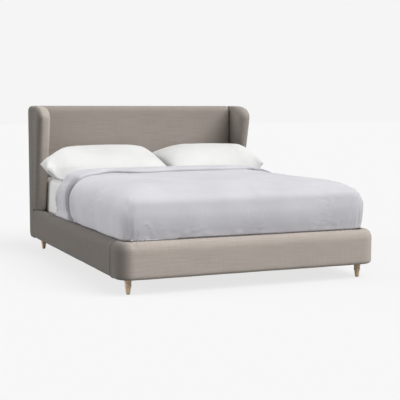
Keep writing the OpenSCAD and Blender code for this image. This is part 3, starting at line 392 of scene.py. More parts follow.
# Blows a piece up as cloth under pressure, with some points held and the movement of the rest capped
def puff(piece, pressure, cap, held, grow=0.0, bend=2.0, frames=12):
    mesh = piece.data
    before = [v.co.copy() for v in mesh.vertices]
    group = piece.vertex_groups.new(name="held")
    group.add([v.index for v in mesh.vertices if held(v.co, v.normal)], 1.0, "REPLACE")
    modifier = piece.modifiers.new("puff", "CLOTH")
    cloth = modifier.settings
    cloth.quality = 3
    cloth.mass = 0.3
    cloth.tension_stiffness = 25
    cloth.compression_stiffness = 25
    cloth.shear_stiffness = 10
    cloth.air_damping = 4
    cloth.bending_stiffness = bend
    cloth.use_pressure = True
    cloth.uniform_pressure_force = pressure
    cloth.shrink_min = -grow
    cloth.vertex_group_mass = "held"
    cloth.effector_weights.gravity = 0
    modifier.collision_settings.use_collision = False
    modifier.point_cache.frame_start = 1
    modifier.point_cache.frame_end = frames
    for step in range(1, frames + 1):
        scene.frame_set(step)
    graph = bpy.context.evaluated_depsgraph_get()
    after = [v.co.copy() for v in piece.evaluated_get(graph).data.vertices]
    piece.modifiers.clear()
    piece.vertex_groups.clear()
    shifts = [end - start for start, end in zip(before, after)]
    lengths = sorted(shift.length for shift in shifts if shift.length > 1e-5)
    usual = lengths[len(lengths) * 9 // 10] if lengths else cap  # nine in ten move less than this
    for vertex, start, shift in zip(mesh.vertices, before, shifts):
        shift = shift * min(1, cap / usual)
        if shift.length > cap:
            shift *= cap / shift.length
        vertex.co = start + shift
    mesh.update()
    scene.frame_set(1)
    print("  puffed", piece.name, len(before), "points, of which", len(lengths), "moved, usually",
          round(usual * 1000, 1), "mm")


def subdivide(piece, levels):
    modifier = piece.modifiers.new("finer", "SUBSURF")
    modifier.levels = modifier.render_levels = levels
    settle(piece)


def nearTree(piece):
    bm = bmesh.new()
    bm.from_mesh(piece.data)
    tree = BVHTree.FromBMesh(bm)
    bm.free()
    return tree


def cutAcross(bm, at, normal):
    bmesh.ops.bisect_plane(bm, geom=bm.verts[:] + bm.edges[:] + bm.faces[:], plane_co=at, plane_no=normal)


# Copy of a soft node as a mesh of quads, made finer, with extra rows cut in at places along the bed.
# Edges below the level hem keep their place, and points short of until along the bed keep to the surface.
def softCopy(name, nodeName, material, levels, cuts=(), hem=0.0, until=9.0):
    bm = nodeCopy(nodeName)
    bmesh.ops.join_triangles(bm, faces=bm.faces, angle_face_threshold=math.pi, angle_shape_threshold=math.pi)
    for y in cuts:
        cutAcross(bm, (0, y, 0), (0, 1, 0))
    sharp = bm.edges.layers.float.new("crease_edge")
    for edge in bm.edges:
        if max(v.co.z for v in edge.verts) < hem:
            edge[sharp] = 1.0
    piece = addPiece(name, bm, material)
    shape = nearTree(piece)
    subdivide(piece, levels)
    fitTo(piece, shape, until)
    return piece


# Puts the points of a finer mesh back on the surface it came from, each on the side it faces,
# as far up the bed as until
def fitTo(piece, shape, until):
    normals = [v.normal.copy() for v in piece.data.vertices]
    for vertex, normal in zip(piece.data.vertices, normals):
        spot, facing = shape.find_nearest(vertex.co)[:2]
        if facing.dot(normal) < 0.2:
            spot, facing = shape.ray_cast(vertex.co, normal, 0.05)[:2]
        if spot is not None and facing.dot(normal) > 0:
            vertex.co = vertex.co.lerp(spot, 1 - ease(until - 0.2, until, vertex.co.y))
    piece.data.update()


def alongNormals(piece, amount):
    normals = [v.normal.copy() for v in piece.data.vertices]
    for vertex, normal in zip(piece.data.vertices, normals):
        vertex.co += normal * amount(vertex.co, normal)
    piece.data.update()


def bump(at, centre, width):
    return math.exp(-((at - centre) / width) ** 2)


def keepClear(piece, others, gap, reach=0.06):
    for other in others:
        tree = nearTree(other)
        for vertex in piece.data.vertices:
            spot, normal, _, distance = tree.find_nearest(vertex.co, reach)
            if spot is not None and (vertex.co - spot).dot(normal) < gap and (
                    (vertex.co - spot).dot(normal) < 0 or distance < gap):
                vertex.co = spot + normal * gap
    piece.data.update()


def threads(piece, rule):
    layer = piece.data.attributes.new("thread", "FLOAT_VECTOR", "POINT")
    values = []
    for vertex in piece.data.vertices:
        u, v = rule(vertex.co)
        values.extend((u, v, 0.0))
    layer.data.foreach_set("vector", values)


def ease(low, high, x):
    t = min(1, max(0, (x - low) / (high - low)))
    return t * t * (3 - 2 * t)


def shareOf(piece, name, rule):
    layer = piece.data.attributes.new(name, "FLOAT", "POINT")
    layer.data.foreach_set("value", [rule(v.co) for v in piece.data.vertices])


# Painted shade: stores the share by which the cover's colour is darkened, on faces to the bed's left and on
# the right wing, where less light falls
def paintSideShade(piece, rule):
    shareOf(piece, "paintedSideShade", rule)


def mirrored(piece, name):
    bm = bmesh.new()
    bm.from_mesh(piece.data)
    bmesh.ops.scale(bm, vec=(-1, 1, 1), verts=bm.verts)
    bmesh.ops.reverse_faces(bm, faces=bm.faces)
    return addPiece(name, bm, piece.data.materials[0])


# Sizes read from the frame
footLow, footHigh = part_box("foot_pad")
sideLow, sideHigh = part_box("side_pad_right")
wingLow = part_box("wing_pad_right")[0]
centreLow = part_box("headboard_centre_pad")[0]
coverLow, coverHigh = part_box("headboard_back_cover")
mattressLow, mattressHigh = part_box("mattress")
sheetLow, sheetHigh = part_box("fitted_sheet")
duvetLow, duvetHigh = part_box("duvet")
halfWidth, railTop, railBottom = footHigh.x, footHigh.z, footLow.z
frontY, seamY = footLow.y, footHigh.y
panelY = centreLow.y

# Upholstered rails
railCloth = {"padding": 0.030, "board": 0.028, "under": 0.012, "over": 0.030,
             "edge": (0.041, 0.060), "headEdge": (0.024, 0.024), "lowRound": 0.022, "innerRound": 0.008,
             "cornerRadius": 0.095, "seamDip": 0.011, "seamReach": 0.006, "lip": 0.0035, "lipAt": 0.011,
             "slack": 0.0012, "tuck": (-0.748, 0.2995), "tuckDepth": 0.012, "gather": 0.0012,
             "footStep": 0.014, "sideStep": 0.02, "sideSeam": 0.6}
railDepth = railCloth["padding"] + railCloth["board"]


# Section of a rail cover as (depth, height, weight) points: weight 1 on the outside, 0 round the board
def railSection(edge):
    c = railCloth
    edgeDepth, edgeDrop = edge
    points = []
    for k in range(7):
        t = math.pi / 2 * (1 - k / 6)
        r = c["lowRound"]
        points.append((r - r * math.cos(t), railBottom + r - r * math.sin(t), 1))
    for k in range(1, 8):
        low, high = railBottom + c["lowRound"], railTop - edgeDrop
        points.append((0, low + (high - low) * k / 8, 1))
    for k in range(13):
        t = math.pi / 2 * k / 12
        points.append((edgeDepth * (1 - math.cos(t)), railTop - edgeDrop * (1 - math.sin(t)), 1))
    for k in range(5):
        t = math.pi / 2 * k / 4
        r = c["innerRound"]
        points.append((railDepth - r + r * math.sin(t), railTop - r + r * math.cos(t), 0.4))
    points.append((railDepth, railTop - c["over"], 0))
    points.append((c["padding"], railTop - c["over"], 0))
    points.append((c["padding"], railBottom + c["under"], 0))
    points.append((railDepth, railBottom + c["under"], 0))
    points.append((railDepth, railBottom + 0.001, 0))
    points.append((c["padding"], railBottom, 0))
    return points


# Lays a grid along places given as (run, x, y, outward x, outward y), with the rail section across it
def railStrip(name, places, proud, edgeAt, material):
    bm = bmesh.new()
    mark = bm.verts.layers.float_vector.new("thread")
    count = len(railSection(edgeAt(0)))
    bmesh.ops.create_grid(bm, x_segments=count, y_segments=len(places) - 1, size=1.0)
    grid = sorted(bm.verts, key=lambda v: (round(v.co.y, 4), round(v.co.x, 4)))
    for row, (run, x, y, outX, outY) in enumerate(places):
        section = railSection(edgeAt(run))
        arc = 0.0
        for k in range(count + 1):
            depth, height, weight = section[k % count]
            before, after = section[k % count - 1], section[(k + 1) % count]
            across = Vector((before[1] - after[1], after[0] - before[0])).normalized() * weight
            arc += math.hypot(depth - before[0], height - before[1]) if k else 0.0
            rise = proud(run, Vector((x, y, height))) if weight else 0.0
            inward = depth + across.x * rise
            vert = grid[row * (count + 1) + k]
            vert.co = (x - outX * inward, y - outY * inward, height + across.y * rise)
            vert[mark] = (run, arc, 0.0)
    bmesh.ops.remove_doubles(bm, verts=bm.verts, dist=1e-6)
    bmesh.ops.holes_fill(bm, edges=[e for e in bm.edges if e.is_boundary], sides=0)
    bmesh.ops.recalc_face_normals(bm, faces=bm.faces)
    return addPiece(name, bm, material)


# Places along a run, closer together towards each end
def runPlaces(low, high, step, ends=(0.0015, 0.003, 0.005, 0.008, 0.011, 0.014, 0.019, 0.026)):
    count = int((high - low) / step)
    middle = [low + (high - low) * k / count for k in range(1, count)]
    inside = [run for run in middle if low + ends[-1] < run < high - ends[-1]]
    return [low] + [low + e for e in ends] + inside + [high - e for e in reversed(ends)] + [high]


def footPlace(run):
    r = railCloth["cornerRadius"]
    cx, cy = halfWidth - r, frontY + r
    side = math.copysign(1, run)
    length = abs(run)
    if length <= cx:
        return run, run, frontY, 0, -1
    turn = (length - cx) / r
    if turn < math.pi / 2:
        outX, outY = side * math.sin(turn), -math.cos(turn)
        return run, side * cx + r * outX, cy + r * outY, outX, outY
    return run, side * halfWidth, cy + length - cx - r * math.pi / 2, side, 0


def slack(run, height, seed):
    broad = noise.noise(Vector((run * 4, height * 7, seed)))
    fine = noise.noise(Vector((run * 11, height * 16, seed)))
    return railCloth["slack"] * (broad + 0.5 * fine)


def seamed(away):
    return railCloth["lip"] * bump(away, railCloth["lipAt"], 0.006) - railCloth["seamDip"] * (
        1 - ease(0, railCloth["seamReach"], away))


footEnd = halfWidth - railCloth["cornerRadius"] * (2 - math.pi / 2) + seamY - frontY


def footProud(run, co):
    line, level = railCloth["tuck"]
    across = run - line + 0.5 * (co.z - level)
    pinch = bump(across, 0, 0.007) - 0.4 * bump(across, 0.016, 0.009)
    tuck = railCloth["tuckDepth"] * pinch * ease(railTop - 0.05, railTop - 0.01, co.z)
    corner = bump(abs(run), halfWidth - 0.02, 0.06) * ease(railTop - 0.09, railTop, co.z)
    gather = railCloth["gather"] * math.sin(run * 210 + 6 * co.z) * corner
    return slack(run, co.z, 2.0) + seamed(footEnd - abs(run)) - tuck + gather


footRuns = runPlaces(-footEnd, footEnd, railCloth["footStep"])
footPad = railStrip("footPad", [footPlace(run) for run in footRuns], footProud,
                    lambda run: railCloth["edge"], linenCover)
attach(footPad, "frame")
# Painted shade round the foot's left corner, where it turns away from the light
paintSideShade(footPad, lambda co: ease(halfWidth - railCloth["cornerRadius"], halfWidth - 0.012, -co.x))
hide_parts("foot_pad")


def sideProud(run, co):
    return slack(run, co.z, 5.0) + seamed(run - sideLow.y) * railCloth["sideSeam"]


# The rounded outer edge of a side rail is pressed tighter under the wing
def sideEdge(run):
    share = ease(wingLow.y - 0.30, wingLow.y - 0.02, run)
    return [a + (b - a) * share for a, b in zip(railCloth["edge"], railCloth["headEdge"])]


for side, name in ((-1, "sidePadLeft"), (1, "sidePadRight")):
    places = runPlaces(sideLow.y, sideHigh.y, railCloth["sideStep"])
    sideRuns = [(run, side * halfWidth, run, side, 0) for run in places]
    pad = railStrip(name, sideRuns, sideProud, sideEdge, linenCover)
    # Painted shade over the whole left side pad, none on the right
    paintSideShade(pad, lambda co: 1.0 if side < 0 else 0.0)
    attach(pad, "frame")
    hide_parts("side_pad_left" if side < 0 else "side_pad_right")
print("rails covered")

# Wings and headboard
headCloth = {"voxel": 0.008, "underFlap": 0.007, "coverEdge": 0.005, "bottomRound": 0.046,
             "backThick": 0.012, "nose": 0.012, "slack": 0.002, "centreVoxel": 0.010, "panelIn": 0.03,
             "panelOut": 0.003}
boardLow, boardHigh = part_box("wing_board_right")


def wingThread(co):
    x = abs(co.x)
    across = ease(boardLow.x - 0.02, boardHigh.x + 0.02, x)
    return (math.copysign(x + (co.y - wingLow.y) * (1 - 2 * across), co.x), co.z)


# The inner side of a wing swells towards its front edge
def fuller(co):
    front = 1 - ease(wingLow.y + 0.06, panelY - 0.04, co.y)
    inner = 1 - ease(boardLow.x - 0.012, boardLow.x - 0.004, co.x)
    return co + Vector((-headCloth["nose"] * front * inner, 0, 0))


def taut(co):
    return headCloth["slack"] * noise.noise(Vector((abs(co.x) * 3 + co.y * 3, co.z * 4, 1.0)))


wingPadRight = addPiece("wingPadRight", nodeCopy("wing_pad_right"), linenCover)
remesh(wingPadRight, headCloth["voxel"])
relax(wingPadRight, 2)
eachPoint(wingPadRight, fuller)
alongNormals(wingPadRight, lambda co, normal: taut(co) if co.y < panelY - 0.01 else 0)
wingPadLeft = mirrored(wingPadRight, "wingPadLeft")
# Painted shade: the left wing darker on its outer side, the right wing darker all over and most on its inner
# side
paintSideShade(wingPadLeft, lambda co: ease(halfWidth - 0.035, halfWidth - 0.005, -co.x))
paintSideShade(wingPadRight, lambda co: 0.35 + 0.4 * (1 - ease(boardLow.x - 0.03, boardLow.x + 0.01, co.x)))
for pad, side in ((wingPadLeft, "left"), (wingPadRight, "right")):
    threads(pad, wingThread)
    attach(pad, "frame")
    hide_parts("wing_pad_" + side)

centrePad = addPiece("centrePad", nodeCopy("headboard_centre_pad"), shadedPanelLinen)
remesh(centrePad, headCloth["centreVoxel"])
relax(centrePad, 2)
threads(centrePad, lambda co: (co.x, co.z + co.y - panelY))
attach(centrePad, "frame")
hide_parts("headboard_centre_pad")


def boxShape(low, high):
    bm = bmesh.new()
    bmesh.ops.create_cube(bm, size=1.0)
    bmesh.ops.scale(bm, vec=[high[i] - low[i] for i in range(3)], verts=bm.verts)
    bmesh.ops.translate(bm, vec=[(high[i] + low[i]) / 2 for i in range(3)], verts=bm.verts)
    return bm


# Edges for which the rule holds, given their middle and their direction
def edgesWhere(bm, rule):
    ends = [(edge, edge.verts[0].co, edge.verts[1].co) for edge in bm.edges]
    return [edge for edge, a, b in ends if rule((a + b) / 2, (b - a).normalized())]


def roundEdges(bm, edges, radius, segments):
    bmesh.ops.bevel(bm, geom=edges, offset=radius, segments=segments, profile=0.5, affect="EDGES",
                    material=-1)


def sideCover(name, side):
    low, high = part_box("headboard_side_cover_" + side)
    bm = boxShape(low, high + up * headCloth["underFlap"])
    outer = high.x if side == "right" else low.x
    lower = edgesWhere(bm, lambda m, d: abs(d.x) > 0.9 and m.y > high.y - 0.001 and m.z < low.z + 0.001)
    roundEdges(bm, lower, headCloth["bottomRound"], 10)
    roundEdges(bm, edgesWhere(bm, lambda m, d: abs(m.x - outer) < 0.0005), headCloth["coverEdge"], 4)
    face = max(bm.faces, key=lambda f: f.calc_area() if abs(f.calc_center_median().x - outer) < 0.001 else 0)
    bmesh.ops.inset_region(bm, faces=[face], thickness=headCloth["panelIn"], depth=headCloth["panelOut"],
                           use_even_offset=True)
    piece = addPiece(name, bm, linenCover)
    # Painted shade over the left side cover, none on the right
    paintSideShade(piece, lambda co: 1.0 if side == "left" else 0.0)
    threads(piece, lambda co: (co.y, co.z))
    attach(piece, "frame")
    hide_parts("headboard_side_cover_" + side)


sideCover("sideCoverLeft", "left")
sideCover("sideCoverRight", "right")

backShape = boxShape(coverLow, coverHigh)
roundEdges(backShape, edgesWhere(backShape, lambda m, d: abs(d.x) > 0.9 and m.y > coverHigh.y - 0.001
                                 and m.z < coverLow.z + 0.001), headCloth["bottomRound"], 12)
openFaces = [f for f in backShape.faces if f.normal.y < -0.9 or f.normal.z > 0.9 or abs(f.normal.x) > 0.9]
bmesh.ops.delete(backShape, geom=openFaces, context="FACES")
longEdges = [e for e in backShape.edges if e.calc_length() > 0.3]
bmesh.ops.subdivide_edges(backShape, edges=longEdges, cuts=24, use_grid_fill=True)
backCover = addPiece("backCover", backShape, linenBack)
wall = backCover.modifiers.new("wall", "SOLIDIFY")
wall.thickness = headCloth["backThick"]
wall.offset = -1
settle(backCover)
threads(backCover, lambda co: (co.x, co.z + coverHigh.y - co.y))
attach(backCover, "frame")
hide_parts("headboard_back_cover")
print("headboard covered")

# Mattress and fitted sheet
bed = {"cornerRadius": 0.060, "edgeRadius": 0.038, "hem": 0.120, "sheetThick": 0.0025, "flat": (2.30, 2.79),
       "drop": 0.40, "tuft": 0.16, "dimple": 0.004, "pucker": 0.0025, "loose": 0.003, "mattressGrid": 0.08,
       "sheetGrid": 0.022}


def softSlab(low, high, corner, edge):
    bm = boxShape(low, high)
    roundEdges(bm, edgesWhere(bm, lambda m, d: abs(d.z) > 0.9), corner, 8)
    rims = edgesWhere(bm, lambda m, d: abs(d.z) < 0.1 and not low.z + 0.001 <= m.z <= high.z - 0.001)
    roundEdges(bm, rims, edge, 6)
    return bm


def gridCuts(bm, spacing):
    for axis in (0, 1, 2):
        points = [v.co[axis] for v in bm.verts]
        count = int((max(points) - min(points)) / spacing)
        for k in range(1, count):
            at = Vector((0, 0, 0))
            at[axis] = min(points) + (max(points) - min(points)) * k / count
            normal = Vector((0, 0, 0))
            normal[axis] = 1
            cutAcross(bm, at, normal)


inset = sheetLow.z - mattressLow.z
mattressShape = softSlab(mattressLow, mattressHigh, bed["cornerRadius"] + inset, bed["edgeRadius"] + inset)
gridCuts(mattressShape, bed["mattressGrid"])
mattressPiece = addPiece("mattressPiece", mattressShape, mattressKnit)


def quilted(co):
    if co.z > mattressLow.z + 0.01:
        return co
    dimple = math.cos(co.x * math.pi / bed["tuft"]) * math.cos(co.y * math.pi / bed["tuft"])
    return co + up * bed["dimple"] * dimple * dimple


eachPoint(mattressPiece, quilted)
threads(mattressPiece, lambda co: (co.x + co.z, co.y + co.z))
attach(mattressPiece, "mattress")
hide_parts("mattress")

sheetShape = softSlab(sheetLow, sheetHigh, bed["cornerRadius"], bed["edgeRadius"])
gridCuts(sheetShape, bed["sheetGrid"])
hole = [f for f in sheetShape.faces if f.normal.z < -0.9
        and sheetLow.x + bed["hem"] < f.calc_center_median().x < sheetHigh.x - bed["hem"]
        and sheetLow.y + bed["hem"] < f.calc_center_median().y < sheetHigh.y - bed["hem"]]
bmesh.ops.delete(sheetShape, geom=hole, context="FACES")
sheetPiece = addPiece("sheetPiece", sheetShape, sheetCotton)


# The sheet's sides are smooth beside the wings, so that they clear each other when the mattress is lifted
def puckered(co):
    middleY = (sheetLow.y + sheetHigh.y) / 2
    side = max(abs(co.x) / sheetHigh.x, abs(co.y - middleY) / (sheetHigh.y - middleY))
    if side < 0.97:
        return co
    low = 1 - ease(sheetLow.z, sheetLow.z + 0.14, co.z)
    run = co.x + co.y
    wave = 0.5 + 0.5 * math.sin(run * 130 + 3 * noise.noise(Vector((run * 6, co.z * 3, 0))))
    slow = 0.5 + 0.5 * noise.noise(Vector((co.x * 5, co.y * 5, co.z * 7)))
    away = Vector((co.x / sheetHigh.x, (co.y - middleY) / sheetHigh.y, 0)).normalized()
    bare = ease(0.2, 0.35, co.y) * (1 - ease(0.5, 0.6, co.y))
    return co + away * bare * (bed["pucker"] * low * wave + bed["loose"] * slow)


eachPoint(sheetPiece, puckered)
wall = sheetPiece.modifiers.new("wall", "SOLIDIFY")
wall.thickness = bed["sheetThick"]
wall.offset = -1
settle(sheetPiece)
threads(sheetPiece, lambda co: (co.x + 0.7 * co.z, co.y + 0.7 * co.z))
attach(sheetPiece, "mattress")
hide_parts("fitted_sheet")
print("mattress and sheet made")

# Duvet
quilt = {"levels": 2, "cap": 0.007, "pressure": 0.35, "foldY": duvetHigh.y, "bandWidth": 0.35,
         "lineSide": 0.085, "bandUp": 0.032, "bandIn": 0.019, "mainOut": 0.011, "groove": 0.010,
         "roll": 0.070, "shapedTo": -0.3, "thin": 0.010, "full": 0.024, "hang": 0.0055, "swell": 0.0035,
         "crease": 0.0036, "creaseWidth": 0.10, "sideShade": 0.8, "lineShade": 0.35, "gap": 0.0005,
         "stillFrom": -0.16, "stillTo": 0.12,
         "rows": (-0.11, -0.085, -0.060, -0.040, -0.027, -0.018, 0.006, 0.014, 0.026, 0.042, 0.065)}
bandEdge = quilt["foldY"] - quilt["bandWidth"]
topFlat = sheetHigh.z


# Where the folded band ends: further down the bed on the sides than on top, and furthest at the hem
def bandLine(co):
    top = 1 - ease(sheetHigh.x - 0.12, sheetHigh.x + 0.01, abs(co.x))
    wave = 0.225 + 0.15 * co.x + 0.13 * bump(co.x, -0.44, 0.11) + 0.02 * math.sin(11 * co.x + 0.6)
    hem = 0.07 * (1 - ease(railTop, railTop + 0.08, co.z))
    return quilt["lineSide"] - hem + (wave - quilt["lineSide"]) * top


# How far a point is outside the sheet's box, over its foot, sides and top
def slabDistance(co):
    dx = max(abs(co.x) - sheetHigh.x, 0)
    dy = max(sheetLow.y - co.y, 0)
    dz = max(co.z - topFlat, 0)
    return math.sqrt(dx * dx + dy * dy + dz * dz)


# The lining against the bed and the hem stay where they are
def quiltHeld(co, normal):
    core = Vector((min(0.6, max(-0.6, co.x)), min(quilt["foldY"] - 0.1, max(sheetLow.y + 0.15, co.y)), 0.40))
    return normal.dot(co - core) < 0 or co.z < railTop + 0.008


# Bends the straight rows cut in at the band's edge onto the line where it ends
def waved(co):
    reach = (co.y - bandEdge) / (quilt["foldY"] - bandEdge) if co.y > bandEdge else (bandEdge - co.y) / 0.55
    return co + Vector((0, (bandLine(co) - bandEdge) * (1 - ease(0, 1, reach)), 0))


# How far a point of the band lies past the fold line, as a share of the rolled edge
def rolled(past):
    share = min(1, max(0, past / quilt["roll"]))
    return math.sqrt(1 - (1 - share) ** 2)


# The folded band is highest on top, where its edge is a roll, and lies in from the main part on the sides
def foldedOver(co, normal):
    if quiltHeld(co, normal):
        return Vector()
    clear = ease(railTop + 0.004, railTop + 0.035, co.z)
    past = co.y - bandLine(co)
    side = ease(sheetHigh.x - 0.03, sheetHigh.x + 0.02, abs(co.x))
    top = 1 - ease(sheetHigh.x - 0.13, sheetHigh.x + 0.02, abs(co.x))
    lowered = -quilt["bandUp"] * top * (ease(-0.014, 0, past) - rolled(past))
    band = -quilt["bandIn"] * side * (ease(-0.012, 0.006, past) + 0.9 * bump(past, 0.012, 0.022))
    edge = quilt["mainOut"] * bump(past, -0.050, 0.032) * (0.3 + 0.7 * side)
    groove = -quilt["groove"] * bump(past, -0.001, 0.006)
    hung = 0.005 * side * math.sin(75 * past - 9 * (co.z - railTop)) * ease(0.03, 0.09, past)
    return normal * clear * (band + edge + groove + hung) + up * lowered


# The node's outer face runs inside its lining over the foot edge of the mattress: this moves it out there,
# so that some filling is left between the two
def thickened(co, normal):
    radius = bed["edgeRadius"]
    core = Vector((min(sheetHigh.x - radius, max(sheetLow.x + radius, co.x)), max(sheetLow.y + radius, co.y),
                   min(topFlat - radius, co.z)))
    away = co - core
    depth = away.length - radius
    if quiltHeld(co, normal) or depth > quilt["full"] or co.y > -0.7:
        return 0.0
    room = quilt["full"] - quilt["thin"]
    filled = quilt["full"] - room * (1 - math.exp((depth - quilt["full"]) / room))
    return (filled - depth) * ease(railTop + 0.03, railTop + 0.08, co.z)


# Place along the bed's edge: across the bed at its foot and along it on its sides
def alongEdge(co):
    side = ease(sheetHigh.x - 0.12, sheetHigh.x + 0.03, abs(co.x))
    return co.x * (1 - side) + co.y * side + 0.5 * side


# Hang of the cloth: long soft folds down the sides and the foot, slow swells on top
def hanging(co, normal):
    if quiltHeld(co, normal):
        return 0.0
    n = noise.noise
    clear = ease(railTop + 0.004, railTop + 0.05, co.z)
    drop = 1 - ease(railTop + 0.02, topFlat + 0.02, co.z)
    run = alongEdge(co)
    hang = n(Vector((run * 9.0, co.z * 1.2, 3.1))) + 0.6 * n(Vector((run * 27.0, co.z * 2.6, 7.7)))
    top = n(Vector((co.x * 2.6, co.y * 3.1, 1.3)))
    return clear * (quilt["hang"] * drop * hang + quilt["swell"] * (1 - drop) * top)


# Short creases that run aslant over the edge of the bed and down from it
def creased(co, normal):
    if quiltHeld(co, normal):
        return 0.0
    n = noise.noise
    edge = bump(slabDistance(Vector((co.x, co.y, co.z - 0.05))), 0.02, 0.10)
    across = alongEdge(co)
    patch = ease(0.0, 0.35, n(Vector((co.x * 4.1, co.y * 4.1, co.z * 5.0 + 8))))
    slant = n(Vector((across * 24 + co.z * 8, co.z * 6, 2.2)))
    ridge = max(0, 1 - abs(slant) / quilt["creaseWidth"])
    return quilt["crease"] * ridge * patch * (0.35 + edge)


# Shade held in the fold: a thin line on top, and a wide one on the sides behind the edge of the main part
def foldShade(co):
    past = co.y - bandLine(co)
    outer = co.z > topFlat - 0.2 or abs(co.x) > 0.7
    side = ease(sheetHigh.x - 0.03, sheetHigh.x + 0.02, abs(co.x)) if outer else 0
    deep = side * ease(-0.002, 0.006, past) * (1 - ease(0.05, 0.19, past))
    line = (1 - side) * bump(past, 0.001, 0.006) * ease(topFlat + 0.01, topFlat + 0.03, co.z)
    return min(1, quilt["sideShade"] * deep + quilt["lineShade"] * line)


bandRows = [bandEdge + row for row in quilt["rows"]]
duvetPiece = softCopy("duvetPiece", "duvet", duvetCotton, quilt["levels"], bandRows, duvetLow.z + 0.002,
                      quilt["shapedTo"])
eachPoint(duvetPiece, waved)
puff(duvetPiece, quilt["pressure"], quilt["cap"],
     lambda co, normal: quiltHeld(co, normal) or quilt["stillFrom"] < co.y - bandLine(co) < quilt["stillTo"])
relax(duvetPiece, 6, 0.5,
      lambda co: co.y < quilt["shapedTo"] and co.z > railTop + 0.03 and slabDistance(co) > 0.006)
alongNormals(duvetPiece, thickened)
alongNormals(duvetPiece, hanging)
normals = [v.normal.copy() for v in duvetPiece.data.vertices]
for vertex, normal in zip(duvetPiece.data.vertices, normals):
    vertex.co += foldedOver(vertex.co, normal)
subdivide(duvetPiece, 1)
shareOf(duvetPiece, "foldShade", foldShade)
alongNormals(duvetPiece, creased)
keepClear(duvetPiece, [sheetPiece], quilt["gap"])
threads(duvetPiece, lambda co: (co.x + 0.7 * co.z, co.y + 0.7 * co.z))
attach(duvetPiece, "duvet")
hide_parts("duvet")
print("duvet made")

# Pillows
pillow = {"levels": 2, "slim": 0.006, "cap": 0.010, "pressure": 1.0, "grow": 0.008, "gap": 0.0008,
          "thick": 0.13, "seamShare": 0.08, "dent": 0.004, "crease": 0.0008, "endCrease": 0.0016,
          "creaseWidth": 0.2}


# How full a pillow is at a point, from 0 at its seam to 1 in its middle
def fullness(tree, co, normal):
    spot, _, _, distance = tree.ray_cast(co - normal * 0.001, -normal)
    return 1.0 if spot is None else ease(0, pillow["thick"], distance)


def rounded(co):
    return tuple(round(c, 5) for c in co)


def pillowPiece(name, side, seed):
    piece = softCopy(name, "pillow_" + side, pillowCotton, pillow["levels"])
    tree = nearTree(piece)
    n = noise.noise
    full = [fullness(tree, v.co, v.normal) for v in piece.data.vertices]
    seam = {rounded(v.co) for v, share in zip(piece.data.vertices, full) if share < pillow["seamShare"]}
    alongNormals(piece, lambda co, normal: 0.0 if rounded(co) in seam else -pillow["slim"])
    puff(piece, pillow["pressure"], pillow["cap"],
         lambda co, normal: co.z < topFlat + 0.004 or rounded(co) in seam, pillow["grow"])

    def dented(co, normal):
        soft = n(Vector((co.x * 5 + seed, co.y * 6, co.z * 5)))
        soft += 0.4 * n(Vector((co.x * 13, co.y * 13 + seed, co.z * 10)))
        return pillow["dent"] * soft * ease(topFlat + 0.03, topFlat + 0.10, co.z)

    alongNormals(piece, dented)
    relax(piece, 2, 0.5, lambda co: co.z > topFlat + 0.01)
    subdivide(piece, 1)

    def crumpled(co, normal):
        end = ease(0.50, 0.80, abs(co.x))
        line = n(Vector((co.x * 20, co.y * 6 + seed, co.z * 10)))
        patch = ease(-0.1, 0.3, n(Vector((co.x * 5, co.y * 5, co.z * 5 + seed))))
        ridge = max(0, 1 - abs(line) / pillow["creaseWidth"])
        deep = pillow["crease"] + pillow["endCrease"] * end
        return deep * ridge * patch * ease(topFlat, topFlat + 0.05, co.z)

    alongNormals(piece, crumpled)
    keepClear(piece, [wingPadLeft, wingPadRight, centrePad, sheetPiece, duvetPiece], pillow["gap"])
    eachPoint(piece, lambda co: Vector((co.x, co.y, max(co.z, topFlat + 0.0005))))
    threads(piece, lambda co: (co.x, co.y + co.z))
    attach(piece, "pillow_" + side)
    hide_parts("pillow_" + side)
    return piece


pillowLeft = pillowPiece("pillowLeft", "left", 2.0)
pillowRight = pillowPiece("pillowRight", "right", 9.0)
keepClear(pillowRight, [pillowLeft], pillow["gap"])
print("pillows made")

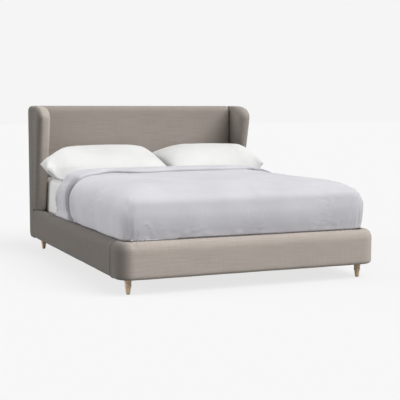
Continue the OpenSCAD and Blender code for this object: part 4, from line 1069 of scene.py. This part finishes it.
# Floor, light and background
studio = {"ambient": 0.34, "background": (0.913, 0.913, 0.913, 1), "floorSeen": (0.16, 0.16, 0.16, 1),
          "floorUnseen": (0.26, 0.26, 0.26, 1), "floorGlow": 0.822, "floorSize": 60.0,
          "key": (0.40, -0.52, 0.755), "keyPower": 2.9, "keyAngle": 50,
          "fill": (-0.90, 0.38, 0.20), "fillPower": 1.7, "fillAngle": 40}


# 1 for a ray from the camera or one mirrored or passed on from it, 0 for the light that falls on things
def seenShare(tree):
    path = put(tree, "LightPath").outputs
    either = calc(tree, "MAXIMUM", path["Is Camera Ray"], path["Is Glossy Ray"])
    return calc(tree, "MAXIMUM", either, path["Is Transmission Ray"])


floorShape = bmesh.new()
bmesh.ops.create_grid(floorShape, x_segments=8, y_segments=8, size=studio["floorSize"])
floorMaterial, floorTree, floorShader = newMaterial("paleFloor")
floorSeen = seenShare(floorTree)
floorColour = tint(floorTree, floorSeen, studio["floorUnseen"], studio["floorSeen"])
floorGlow = tint(floorTree, floorSeen, (0, 0, 0, 1), shaded(studio["background"], studio["floorGlow"]))
join(floorTree, floorColour, floorShader, "Base Color")
join(floorTree, floorGlow, floorShader, "Emission Color")
setShader(floorShader, Roughness=1.0, Specular_IOR_Level=0.0, Emission_Strength=1.0)
studioFloor = addPiece("studioFloor", floorShape, floorMaterial)

world = bpy.data.worlds.new("studioWorld")
scene.world = world
world.use_nodes = True
worldTree = world.node_tree
worldTree.nodes.clear()
around = put(worldTree, "Background", {"Color": (1, 1, 1, 1), "Strength": studio["ambient"]})
seen = put(worldTree, "Background", {"Color": studio["background"], "Strength": 1.0})
chosen = put(worldTree, "MixShader", {0: seenShare(worldTree), 1: around.outputs[0], 2: seen.outputs[0]})
put(worldTree, "OutputWorld", {0: chosen.outputs[0]})


def sun(name, towards, power, angle):
    data = bpy.data.lights.new(name, "SUN")
    data.energy = power
    data.angle = math.radians(angle)
    lamp = bpy.data.objects.new(name, data)
    lamp.rotation_euler = Vector(towards).to_track_quat("Z", "Y").to_euler()
    scene.collection.objects.link(lamp)


sun("keySun", studio["key"], studio["keyPower"], studio["keyAngle"])
sun("fillSun", studio["fill"], studio["fillPower"], studio["fillAngle"])
scene.view_settings.view_transform = "Standard"
print("studio ready")
